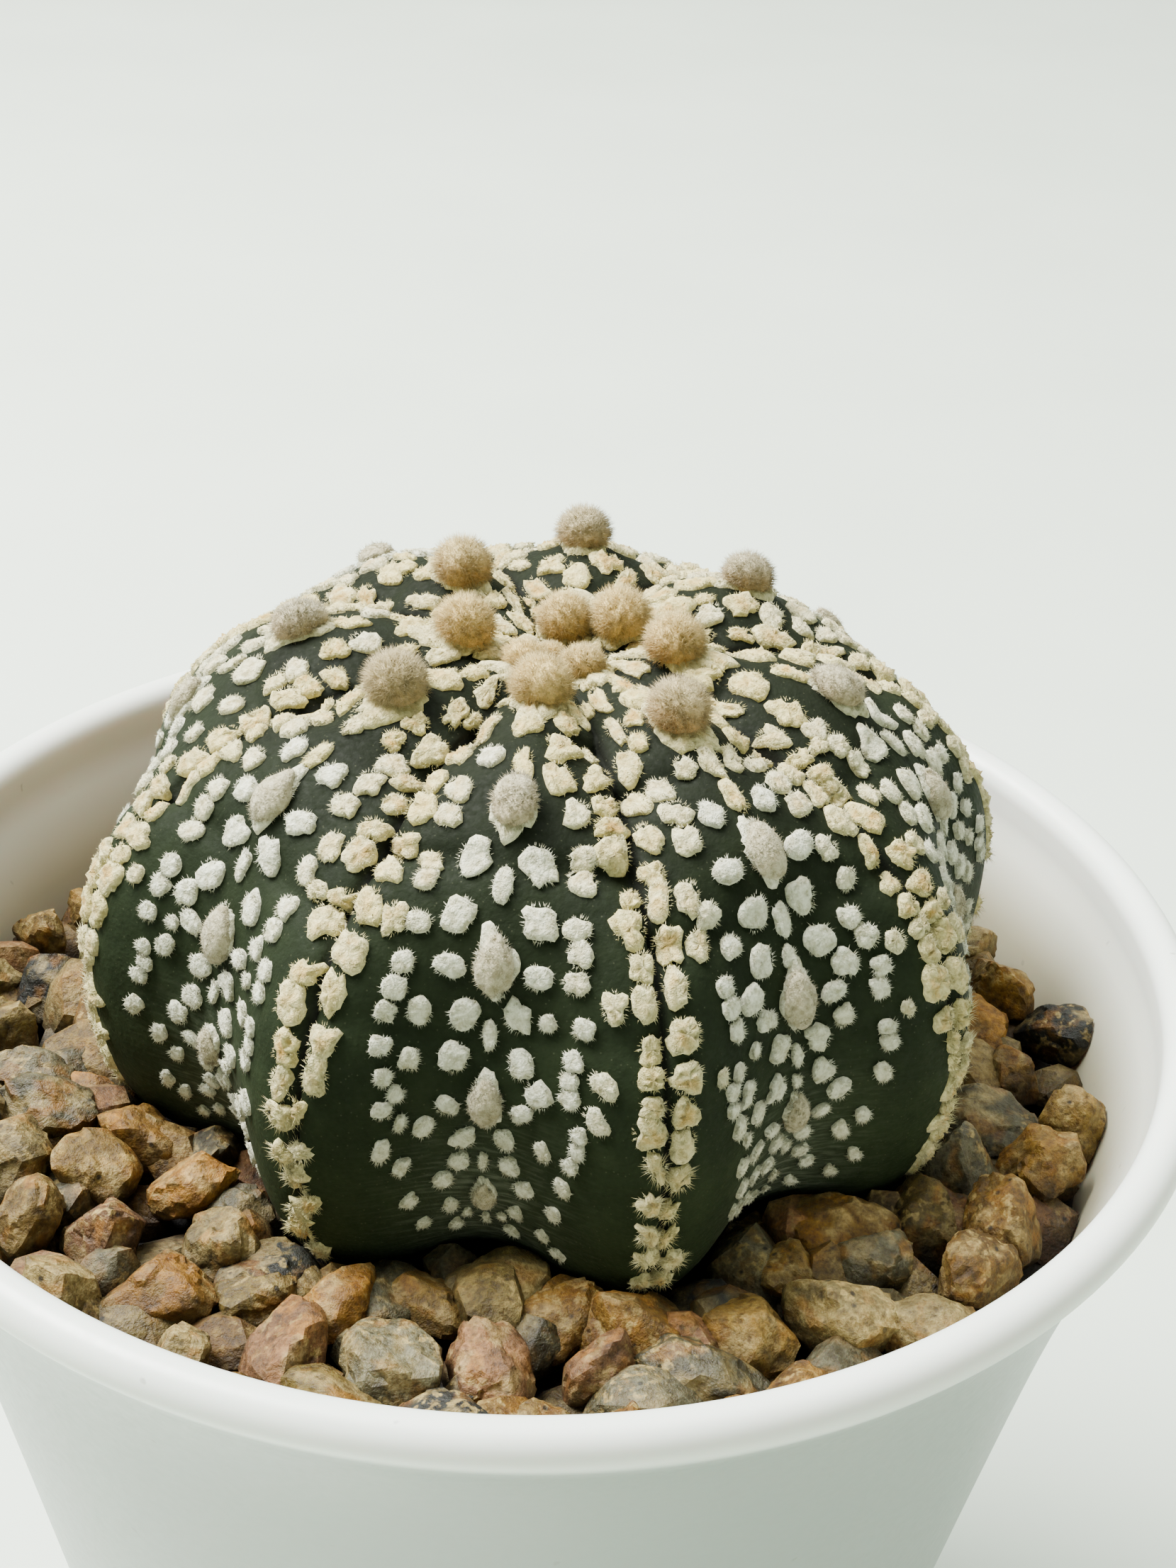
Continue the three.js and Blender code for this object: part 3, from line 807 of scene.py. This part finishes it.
def fill_spots(rib, rng):
    """Places for the rest of the pads: a staggered lattice first, then random ones for the gaps."""
    lat = FILL_TOP_LAT
    row = 0
    while lat > FILL_LOW_LAT:
        size = pad_size(lat)
        wide = half_width(rib, lat, 0.5)
        aside = 0.5 * (row % 2) * ROW_PITCH * size
        while aside < wide:
            off = 0.12 * size * rng.normal()
            yield lat, aside + off, size * (0.85 + 0.2 * rng.random())
            aside += ROW_PITCH * size
        lat -= degrees_down(0.88 * ROW_PITCH * size, lat, 0.5)
        row += 1
    for i in range(FILL_TRIES):
        share = (i * GOLDEN_SHARE) % 1
        lat = FILL_TOP_LAT - (FILL_TOP_LAT - FILL_LOW_LAT) * share**1.4
        aside = half_width(rib, lat, 0.5) * rng.random()
        yield lat, aside, pad_size(lat) * (0.95 - 0.4 * i / FILL_TRIES)


def fill_flecks(rib, rng):
    """Candidates for the rest of the rib, in mirrored pairs."""
    spots = list(fill_spots(rib, rng))  # all drawn before the first pad's own numbers
    for lat, aside, size in spots:
        wide = half_width(rib, lat, 0.5)
        upper = ramp(lat, 40, 60)
        stretch = 1 + (0.4 + 0.5 * upper) * rng.random() ** 1.5
        turn = jitter(rng, 0.5 + 1.0 * upper) + 0.15
        if lat < 15:
            stretch += 0.25
            turn += 0.3
        sides = (-1, 1)
        if lat > FREE_FILL_LAT:
            sides = (-1,) if rng.random() < 0.5 else (1,)
            size *= 0.95
            stretch += 0.2
        elif aside < 0.5 * size:
            aside = 0.0
            size *= 0.68
            stretch = 1.3 + 0.6 * rng.random()
            turn = jitter(rng, 0.1)
            sides = (1,)
        from_seam = wide - aside
        bare = lat < BARE_BELOW_LAT and aside / wide > 0.5 + 0.008 * (lat + 8)
        if bare or from_seam < 0.62 * size:
            continue
        cream = ramp(from_seam, 4.0, 1.4) + upper
        for side in sides:
            yield fleck(
                rib,
                lat + jitter(rng, 1.0),
                side * aside / wide + jitter(rng, 0.02),
                size * stretch,
                size * (1 - 0.15 * (stretch - 1)),
                turn * side + jitter(rng, 0.2),
                min(1.0, cream + 0.1 * rng.random()),
                1.9 + (0.9 - 0.4 * upper) * rng.random(),
                gap=0.4 - 0.44 * upper,
            )


def crown_flecks(rib, rng):
    """Candidates for the gaps round the crown: long pads that point away from its middle."""
    for i in range(CROWN_TRIES):
        lat = CROWN_LOW_LAT + (CROWN_HIGH_LAT - CROWN_LOW_LAT) * rng.random()
        across = 1 - 2 * rng.random()
        size = 1.75 - 0.95 * i / CROWN_TRIES
        turn = jitter(rng, 0.7) + 0.3 * across
        shape = (1.55 * size, size, turn, 1, 2.1)
        yield fleck(rib, lat, 0.92 * across, *shape, gap=CROWN_OVERLAP)


def rib_flecks(rng, seam):
    """The pads between the seams, rib by rib, where there is room for them."""
    flecks = []
    seam_balls, seam_sizes = seam.balls()
    for rib in range(RIB_COUNT):
        own = seam.rib[:, 0] == rib
        lats = np.array([lat for owner, lat in AREOLES if owner == rib])
        tufts = skin_point(lon_of(rib, np.zeros(len(lats))), lats)
        points = np.concatenate([seam_balls[own].reshape(-1, 3), tufts, CROWN])
        tuft_sizes = 0.85 * areole_size(lats)
        reaches = np.concatenate([np.repeat(seam_sizes[own], 3), tuft_sizes, [CROWN_WOOL_RADIUS]])
        room = Room(points, reaches)
        for candidates in (column_bars, areole_company, fill_flecks):
            flecks += room.accept(list(candidates(rib, rng)))
        flecks += room.accept(list(crown_flecks(rib, np.random.default_rng(rib))))
    return flecks


def collar_flecks(rng):
    """The pale felt collar under each woolly tuft, drawn out to points along the rib."""
    for rib, lat in AREOLES:
        upper = ball_share(lat)
        radius = areole_size(lat) * (1 - 0.4 * young_share(lat))
        length = radius * (3.2 - 0.3 * upper)
        width = radius * (1.7 - 0.1 * upper)
        turn = jitter(rng, 0.3)
        cream = 0.1 + 0.7 * upper
        height, across = shifted(rib, lat, 0.4 * upper, 0)
        yield fleck(rib, min(height, 86), across, length, width, turn, cream, 1.45)


def make_pads(name, pads, corners, rng):
    """Rings of points from under the skin up to the middle of each pad."""
    angles = around(corners)
    edge = pads.edge(angles, rng)
    thick = pads.thickness()
    rows = []
    for spread, rise in PAD_RINGS:
        wobble = (0.04 + 0.09 * pads.cream) * rng.normal(size=edge.shape) * (rise > 0.3)
        height = (rise + wobble) * np.where(rise > 0, thick, 1)
        rows.append(pads.draped(edge * spread, angles, height))
    rows.append(pads.draped(0 * thick, 0.0, PAD_CROWN_HEIGHT * thick))
    points = np.concatenate(rows, axis=1)
    count, per_pad, _ = points.shape
    starts = np.arange(count)[:, None, None] * per_pad
    quads = np.array(grid_faces(len(PAD_RINGS), corners))[:, ::-1] + starts
    inner = np.arange(corners) + per_pad - 1 - corners
    fan = np.stack([np.full(corners, per_pad - 1), inner, np.roll(inner, -1)], -1) + starts
    faces = quads.reshape(-1, 4).tolist() + fan.reshape(-1, 3).tolist()
    age = np.append(np.repeat(PAD_RING_AGE, corners), 1.0)
    stain = pads.cream * (0.3 + 0.7 * rng.random((count, 1))) * age
    cream = np.repeat(pads.cream, per_pad)
    return mesh_object(name, points, faces, cream=cream, stain=stain.ravel())


FRINGE_HAIRS = 90
COLLAR_CORNERS = 36
COLLAR_HAIRS = 260
FRINGE_HAIR_WIDTH = 0.05


def make_fringe(name, pads, per_pad, rng):
    """Short hairs that lie on the outer part of each pad and point away past its edge."""
    shape = (len(pads.length), per_pad)
    angle = rng.random(shape) * 2 * math.pi
    spread = 0.6 + 0.37 * rng.random(shape) ** 0.6
    rise = np.interp(spread, *np.array(PAD_RINGS[:0:-1]).T)
    length = (0.1 + 0.22 * rng.random(shape)) * (1 + 1.2 * pads.ragged)
    reach = spread * superellipse(angle, pads.corner)
    bases = pads.draped(reach, angle, rise * pads.thickness())
    toward = np.arctan2(np.sin(angle) * pads.width, np.cos(angle) * pads.length) + pads.turn
    direction = pads.along[:, None] * np.cos(toward)[..., None]
    direction += pads.sideways[:, None] * np.sin(toward)[..., None]
    direction += pads.outward[:, None] * (0.1 + 0.35 * rng.random(shape))[..., None]
    direction = unit(direction + 0.3 * rng.normal(size=direction.shape)).reshape(-1, 3)
    bases = bases.reshape(-1, 3)
    points, faces = needles(bases, direction, length.ravel(), FRINGE_HAIR_WIDTH, rng)
    cream = np.repeat(pads.cream, per_pad * 4)
    return mesh_object(name, points, faces.tolist(), cream=cream, stain=np.zeros(len(points)))


def dress_pads(name, flecks, corners, fringe_hairs, felt, rng):
    pads = make_pads(name + "s", flecks, corners, rng)
    fringe = make_fringe(name + "_fringe", flecks, fringe_hairs, rng)
    for piece in (pads, fringe):
        dress(piece, felt, "cactus")


# Woolly tufts

BALL_HAIRS = 4000
CUSHION_HAIRS = 700
TUFT_HAIR_WIDTH = 0.045
TUFT_SEED = 23


def tuft_shape(directions, radius, ball, young):
    """Points of a tuft in its own axes: a ball, or low down a drop with its point upwards."""
    cushion = 1 - ball
    narrow = 1 - 0.45 * cushion * np.clip(-directions[:, 0], 0, 1) ** 1.3
    flat = 0.95 - 0.3 * cushion - 0.25 * young
    size = radius * np.array([1 + 0.42 * cushion, 1 - 0.1 * cushion + 0.1 * young, flat])
    return directions * np.stack([np.ones_like(narrow), narrow, 0.5 + 0.5 * narrow], -1) * size


def brown_below_and_shade(directions):
    """How brown the wool is on each side of a tuft: brown below and fresh on top, partly old wool and
    partly painted shade under a tuft lit from above.
    """
    return np.clip(0.6 - 0.75 * directions[:, 2], 0, 1)


def lumps(points, waves, rng):
    return np.sin(waves * points @ rng.normal(size=3) + rng.random() * 6)


def make_tufts(rng):
    sphere, sphere_faces = unit_sphere(3)
    cores = []
    hairs = []
    for rib, lat in AREOLES:
        skin = Skin(lon_of([rib], 0.0), np.array([lat]))
        axes = np.concatenate([skin.along, skin.sideways, skin.outward])
        ball = ball_share(lat)
        young = young_share(lat)
        radius = areole_size(lat) * (0.94 - 0.45 * young)
        centre = skin.origin + skin.outward * radius * (0.25 + 0.22 * ball)
        bumpy = 1 + 0.07 * lumps(sphere, 4, rng)
        bumpy += 0.05 * lumps(sphere, 9, rng)
        core = tuft_shape(sphere, radius, ball, young) * bumpy[:, None] * (0.96 - 0.16 * ball)
        cream = ramp(lat, 52, 70) * (0.8 + 0.2 * rng.random())
        stain = ball * (0.35 + 0.65 * rng.random()) * (1 - 0.6 * young)
        # A tuft's brown is strongest on its lower side: partly old wool, partly painted shade.
        cores.append((centre + core @ axes, sphere_faces, {
            "cream": np.full(len(core), cream),
            "stain": stain * brown_below_and_shade(sphere @ axes),
        }))
        directions = unit_vectors(rng, int(CUSHION_HAIRS + (BALL_HAIRS - CUSHION_HAIRS) * ball))
        directions = directions[directions[:, 2] > -0.4]
        bases = tuft_shape(directions, radius, ball, young) * (0.9 - 0.15 * ball)
        tilt = unit(directions + (0.8 - 0.35 * ball) * rng.normal(size=directions.shape))
        length = radius * (0.14 + 0.1 * ball + 0.22 * rng.random(len(bases)))
        points, faces = needles(centre + bases @ axes, tilt @ axes, length, TUFT_HAIR_WIDTH, rng)
        # Hair roots are browner than their tips: partly old wool, partly painted shade inside the tuft.
        brown = np.outer(brown_below_and_shade(directions @ axes), [1, 1, 1, 0.4])
        hairs.append((points, faces, {
            "cream": np.full(len(points), cream),
            "stain": stain * brown.ravel(),
        }))
    return joined_object("areole_wool_cores", cores), joined_object("areole_wool_hairs", hairs)


# Gravel

def random_stream(state):
    """The same numbers as the solid's layout uses, 0 to 1."""
    while True:
        state = (state * 1664525 + 1013904223) % 4294967296
        yield state / 4294967296


def outer_radius(height):
    below = height - RIM_HEIGHT
    return WALL_RADIUS_AT_RIM + WALL_TAPER * below + FLARE_WIDTH * np.exp(below / FLARE_DEPTH)


def inner_radius(height):
    return np.minimum(outer_radius(height) - WALL_THICKNESS, RIM_RADIUS)


# Share of the stones, colour and how much quartz
STONE_KINDS = [
    (6, (160, 130, 62), 0.2),
    (4, (158, 120, 48), 0.2),
    (3, (178, 132, 88), 0.1),
    (5, (170, 152, 98), 0.3),
    (4, (130, 126, 98), 0.8),
    (2, (182, 132, 50), 0.4),
    (2, (122, 104, 48), 0.6),
    (1, (54, 57, 52), 0.3),
]
PALE_GRAIN = np.array(linear(172, 154, 104))
RUSTY_GRAIN = np.array(linear(160, 110, 34))
GRIT_COLOUR = linear(64, 46, 24)
STONE_PLANES = 13
STONE_WEAR = 24
STONE_GRAINS = 90
STONE_TILT = 0.05
STONE_STEP = 0.014
STONE_ROUGHNESS = 0.004
SHARP_EDGE = 26
PLANT_CLEARANCE = 0.25
WALL_CLEARANCE = 0.15
UNDER_PITCH = 4.3
UNDER_SCATTER = 1.6
UNDER_RADIUS = 1.7
UNDER_DROP = 2.3
UNDER_RISE = 2.2
UNDER_BARE_RADIUS = 19
GRIT_DROP = 2.4
GRIT_HOLE = 8.4


def lattice(pitch, scatter, reach, bare_radius, draw):
    """Stones on a scattered hexagonal lattice, off the plant: x, y, and two more random numbers."""
    spots = []
    rows = math.ceil(reach / (pitch * HEX_ROW))
    for row, column in product(range(-rows, rows + 1), range(-rows - 2, rows + 3)):
        x = (column + 0.5 * (row & 1)) * pitch + scatter * (draw() - 0.5)
        y = row * HEX_ROW * pitch + scatter * (draw() - 0.5)
        size, rise, _ = draw(), draw(), draw()
        from_plant = math.hypot(x - PLANT_CENTRE[0], y - PLANT_CENTRE[1])
        if math.hypot(x, y) < reach and from_plant > bare_radius:
            spots.append((x, y, size, rise))
    return spots


def top_layout():
    """(x, y, height, radius) of the stones of the top layer, as in the solid."""
    reach = inner_radius(GRAVEL_BED_TOP)
    draw = random_stream(PEBBLE_SEED).__next__
    spots = lattice(PEBBLE_PITCH, PEBBLE_SCATTER, reach, BARE_RADIUS_UNDER_PLANT, draw)
    return [
        (x, y, GRAVEL_BED_TOP + PEBBLE_RISE * rise, PEBBLE_RADIUS * (0.82 + 0.36 * size))
        for x, y, size, rise in spots
    ]


def under_layout(rng):
    """Stones that show in the gaps of the top layer."""
    reach = inner_radius(GRAVEL_BED_TOP) - 1
    spots = lattice(UNDER_PITCH, UNDER_SCATTER, reach, UNDER_BARE_RADIUS, rng.random)
    return [
        (x, y, GRAVEL_BED_TOP - UNDER_DROP + UNDER_RISE * rise, UNDER_RADIUS + 0.8 * size)
        for x, y, size, rise in spots
    ]


def stone_shape(sphere, radius, rng):
    """A broken stone: what a dozen planes cut off, worn a little, with crystal grains proud."""
    normals = unit_vectors(rng, STONE_PLANES)
    distance = 0.7 + 0.3 * rng.random(STONE_PLANES)
    towards = np.clip(sphere @ normals.T, 0.02, None) / distance
    reach = np.sum(towards**STONE_WEAR, axis=1) ** (-1 / STONE_WEAR)
    reach = np.clip(reach, 0.5, 1.15)
    centres = unit_vectors(rng, STONE_GRAINS)
    grain = np.argmax(sphere @ centres.T, axis=1)
    tilt = np.sum(sphere * (STONE_TILT * rng.normal(size=(STONE_GRAINS, 3)))[grain], axis=1)
    proud = (STONE_STEP * rng.normal(size=STONE_GRAINS))[grain] + tilt - np.mean(tilt)
    rough = STONE_ROUGHNESS * rng.normal(size=len(sphere))
    points = sphere * (reach * (1 + np.clip(proud, -0.05, 0.05) + rough))[:, None]
    size = radius * (np.array([1.2, 1.05, 0.9]) + np.array([0.3, 0.18, 0.16]) * rng.random(3))
    turn = np.array(Matrix.Rotation(6.3 * rng.random(), 3, Vector(rng.normal(size=3))))
    return (points * size) @ turn.T, grain


def plant_overlap(points):
    """How far each point would have to go out to be clear of the plant, and its distance now."""
    offset = points - PLANT_CENTRE
    radius = np.linalg.norm(offset, axis=1)
    lat = np.arcsin(offset[:, 2] / radius) / DEGREE
    _, across = rib_place(np.arctan2(offset[:, 0], -offset[:, 1]) / DEGREE)
    least = base_radius(lat, across) + PLANT_CLEARANCE
    return np.where(lat > LOWEST_LAT, np.clip(least - radius, 0, None), 0), radius


def kept_clear(points):
    """Stones stay off the plant's body and inside the pot's wall: first moved, then trimmed."""
    away = np.mean(points, axis=0) - PLANT_CENTRE
    away /= math.hypot(away[0], away[1])
    away[2] = -0.3
    for _ in range(3):
        overlap, _ = plant_overlap(points)
        points = points + 0.8 * overlap.max() * away
    overlap, radius = plant_overlap(points)
    points = PLANT_CENTRE + (points - PLANT_CENTRE) * (1 + overlap / radius)[:, None]
    most = inner_radius(points[:, 2]) - WALL_CLEARANCE
    pull = np.minimum(1.0, most / np.hypot(points[:, 0], points[:, 1]))
    points[:, :2] *= pull[:, None]
    return points


def grain_colours(colour, rng):
    """Colours of the crystals in a stone: mostly its own, some paler, some rusty or dark."""
    colours = np.tile(colour, (STONE_GRAINS, 1)) * (0.66 + 0.62 * rng.random((STONE_GRAINS, 1)))
    kind = rng.random(STONE_GRAINS)
    colours[kind < 0.2] = 0.55 * colours[kind < 0.2] + 0.45 * PALE_GRAIN
    colours[kind > 0.88] = 0.6 * colours[kind > 0.88] + 0.4 * RUSTY_GRAIN
    colours[(kind > 0.3) & (kind < 0.36)] *= 0.6
    colours[:, 3] = 1
    return colours


def make_stones(name, layout, subdivisions, rng):
    sphere, faces = unit_sphere(subdivisions)
    weights = np.array([weight for weight, _, _ in STONE_KINDS], dtype=float)
    weights /= weights.sum()
    parts = []
    for x, y, height, radius in layout:
        points, grain = stone_shape(sphere, radius * (0.8 + 0.4 * rng.random()), rng)
        points = kept_clear(points + np.array([x, y, height]))
        _, colour, quartz = STONE_KINDS[rng.choice(len(weights), p=weights)]
        own = np.array(linear(*colour)) * (0.34 + 0.4 * rng.random())
        parts.append((points, faces, {
            "stone": grain_colours(own, rng)[grain],
            "quartz": np.full(len(points), quartz * rng.random()),
            # depth runs from 0 low in the bed, fully in the painted gap shade, to 1 near the top.
            "depth": np.clip((points[:, 2] - (GRAVEL_BED_TOP - 1.3)) / 3.5, 0, 1),
        }))
    stones = joined_object(name, parts)
    stones.data.set_sharp_from_angle(angle=SHARP_EDGE * DEGREE)
    return stones


def make_gravel_bed():
    """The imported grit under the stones, down to the potting mix."""
    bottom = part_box("gravel")[0][2] / MM
    top = GRAVEL_BED_TOP - GRIT_DROP
    wall_low, wall_high = (inner_radius(height) - 0.3 for height in (bottom, top))
    inner = [(GRIT_HOLE, bottom), (GRIT_HOLE, bottom + 1.5), (20.0, top)]
    bed = lathe_object("gravel_grit", inner + [(wall_high, top), (wall_low, bottom)], 96)
    mesh = bed.data
    for vertex in mesh.vertices:
        if math.hypot(vertex.co.x, vertex.co.y) < (GRIT_HOLE + 0.1) * MM:
            vertex.co.x += PLANT_CENTRE[0] * MM
            vertex.co.y += PLANT_CENTRE[1] * MM
    count = len(mesh.vertices)
    paint(mesh, "stone", np.tile(GRIT_COLOUR, (count, 1)))
    # The grit has depth 0 everywhere, so it gets the full painted gap shade.
    for key in ("quartz", "depth"):
        paint(mesh, key, np.zeros(count))
    return bed


# Pot

def pot_profile():
    foot = outer_radius(0)
    inside = foot - FOOT_WIDTH
    profile = [
        (0.05, FOOT_HEIGHT),
        (inside - FOOT_SLOPE - 0.3, FOOT_HEIGHT),
        (inside - FOOT_SLOPE, FOOT_HEIGHT - 0.15),
        (inside - 0.15, 0.15),
        (inside + 0.2, 0.0),
        (foot - FOOT_SLOPE, 0.0),
        (foot - 0.3, 0.25),
    ]
    for height in np.concatenate([np.linspace(FOOT_SLOPE, 52, 16), np.linspace(54, 69.6, 22)]):
        profile.append((outer_radius(height), height))
    for angle in np.linspace(-40, 185, 20) * DEGREE:
        profile.append((
            RIM_RADIUS + LIP_BEAD_RADIUS + LIP_BEAD_RADIUS * math.cos(angle),
            RIM_HEIGHT - LIP_BEAD_DROP + LIP_BEAD_RADIUS * math.sin(angle),
        ))
    for height in np.concatenate([np.linspace(69.8, 54, 18), np.linspace(50, FLOOR_TOP + 0.8, 10)]):
        profile.append((inner_radius(height), height))
    profile.append((inner_radius(FLOOR_TOP) - 0.8, FLOOR_TOP))
    profile.append((0.05, FLOOR_TOP))
    return profile


def cut_drain_holes(pot):
    """Cuts the holes in the pot's floor with cylinders that are then removed."""
    spots = ring_points(DRAIN_RING_RADIUS, around(DRAIN_COUNT), 2.6).tolist()
    for spot in [[0.0, 0.0, 2.6]] + spots:
        bpy.ops.mesh.primitive_cylinder_add(
            vertices=40, radius=DRAIN_RADIUS * MM, depth=12 * MM, location=Vector(spot) * MM
        )
        drill = bpy.context.object
        cut = pot.modifiers.new("hole", "BOOLEAN")
        cut.operation = "DIFFERENCE"
        cut.solver = "EXACT"
        cut.object = drill
        bpy.context.view_layer.objects.active = pot
        bpy.ops.object.modifier_apply(modifier=cut.name)
        bpy.data.objects.remove(drill)


def make_pot():
    """The pot; its outer wall is painted greyer below the lip as painted shade, and its inner wall is
    painted darker towards the gravel, partly dust and partly painted shade.
    """
    pot = lathe_object("pot_shell", pot_profile(), POT_SEGMENTS)
    mesh = bmesh.new()
    mesh.from_mesh(pot.data)
    bmesh.ops.remove_doubles(mesh, verts=mesh.verts, dist=0.01 * MM)
    bmesh.ops.recalc_face_normals(mesh, faces=mesh.faces)
    mesh.to_mesh(pot.data)
    mesh.free()
    cut_drain_holes(pot)
    points = np.array([vertex.co for vertex in pot.data.vertices]) / MM
    height = points[:, 2]
    outside = np.hypot(points[:, 0], points[:, 1]) > outer_radius(height) - WALL_THICKNESS / 2
    below = RIM_HEIGHT - height
    # Outer wall below the lip: painted shade.
    paint(pot.data, "painted_wall_shade", np.where(outside, ramp(below, 1.2, 2.6), 0))
    # Inner wall, darker towards the gravel: partly dust, partly painted shade.
    paint(pot.data, "dust_and_inner_shade", np.where(outside, 0, ramp(below, 0.5, 8.5)))
    return pot


# Assembly

FLOOR_SEGMENTS = 96
FLOOR_RADIUS = 1500
SWEEP_RADIUS = 500
BACKDROP_HEIGHT = 2200
FLOOR_DROP = 0.05


def build_object():
    skin = skin_material()
    felt = felt_material("felt", (215, 216, 194), (216, 205, 146), (196, 156, 74), 0.1)
    wool = felt_material("wool", (186, 178, 149), (236, 208, 136), (208, 150, 78), 0.75)
    stone = stone_material()

    dress(make_pot(), pot_material(), "pot")
    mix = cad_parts["potting_mix"]
    mix.data.materials.clear()
    mix.data.materials.append(mix_material())

    rng = np.random.default_rng(PEBBLE_SEED)
    dress(make_stones("gravel_top_stones", top_layout(), 4, rng), stone, "gravel")
    dress(make_stones("gravel_under_stones", under_layout(rng), 2, rng), stone, "gravel")
    dress(make_gravel_bed(), stone, "gravel")

    dress(make_skin(), skin, "cactus")
    dress(make_taproot(), skin, "cactus")
    rng = np.random.default_rng(PAD_SEED)
    seam = Pads(list(seam_flecks(rng)))
    rib = Pads(rib_flecks(rng, seam))
    collars = Pads(list(collar_flecks(rng)))
    dress_pads("seam_fleck", seam, PAD_CORNERS, FRINGE_HAIRS, felt, rng)
    dress_pads("rib_fleck", rib, PAD_CORNERS, FRINGE_HAIRS, felt, rng)
    dress_pads("areole_collar", collars, COLLAR_CORNERS, COLLAR_HAIRS, felt, rng)
    for piece in make_tufts(np.random.default_rng(TUFT_SEED)):
        dress(piece, wool, "cactus")


def build_floor():
    """A plain floor that curves up into a wall far away on all sides."""
    sweep = np.linspace(0, 90, 13) * DEGREE
    wall = FLOOR_RADIUS + SWEEP_RADIUS
    radius = [0, *(FLOOR_RADIUS + SWEEP_RADIUS * np.sin(sweep)), wall]
    height = [0, *(SWEEP_RADIUS * (1 - np.cos(sweep))), BACKDROP_HEIGHT]
    radius, height = np.array([radius, height])[..., None]
    points = ring_points(radius, around(FLOOR_SEGMENTS), height - FLOOR_DROP)
    floor = mesh_object("floor", points, grid_faces(len(radius), FLOOR_SEGMENTS))
    floor.data.materials.append(floor_material())


def build_camera():
    """The camera stands back from its target, turned by its pitch and roll."""
    data = bpy.data.cameras.new("camera")
    data.lens = CAMERA_LENS
    data.sensor_width = 36
    data.clip_start = 0.01
    camera = new_object("camera", data)
    target = Matrix.Translation(CAMERA_TARGET * MM)
    pitch = Matrix.Rotation((90 - CAMERA_PITCH) * DEGREE, 4, "X")
    roll = Matrix.Rotation(CAMERA_ROLL * DEGREE, 4, "Z")
    back = Matrix.Translation((0, 0, CAMERA_DISTANCE * MM))
    camera.matrix_world = target @ pitch @ roll @ back
    bpy.context.scene.camera = camera


def soft_light(name, place, aim, size, power, colour):
    data = bpy.data.lights.new(name, "AREA")
    data.shape = "DISK"
    data.size = size * MM
    data.energy = power
    data.color = colour
    light = new_object(name, data)
    light.location = Vector(place) * MM
    light.rotation_euler = (Vector(aim) - Vector(place)).to_track_quat("-Z", "Y").to_euler()


def build_lights():
    world = bpy.data.worlds.new("studio")
    bpy.context.scene.world = world
    world.use_nodes = True
    background = world.node_tree.nodes["Background"]
    background.inputs["Color"].default_value = (0.94, 0.97, 0.93, 1)
    background.inputs["Strength"].default_value = 0.09
    soft_light("key", (-400, 140, 670), (0, 0, RIM_HEIGHT), 450, 27, (1, 0.99, 0.955))
    soft_light("ceiling", (-100, 400, 1500), (0, 250, 0), 1500, 39, (0.97, 1, 0.955))


build_camera()
build_lights()
build_floor()
build_object()
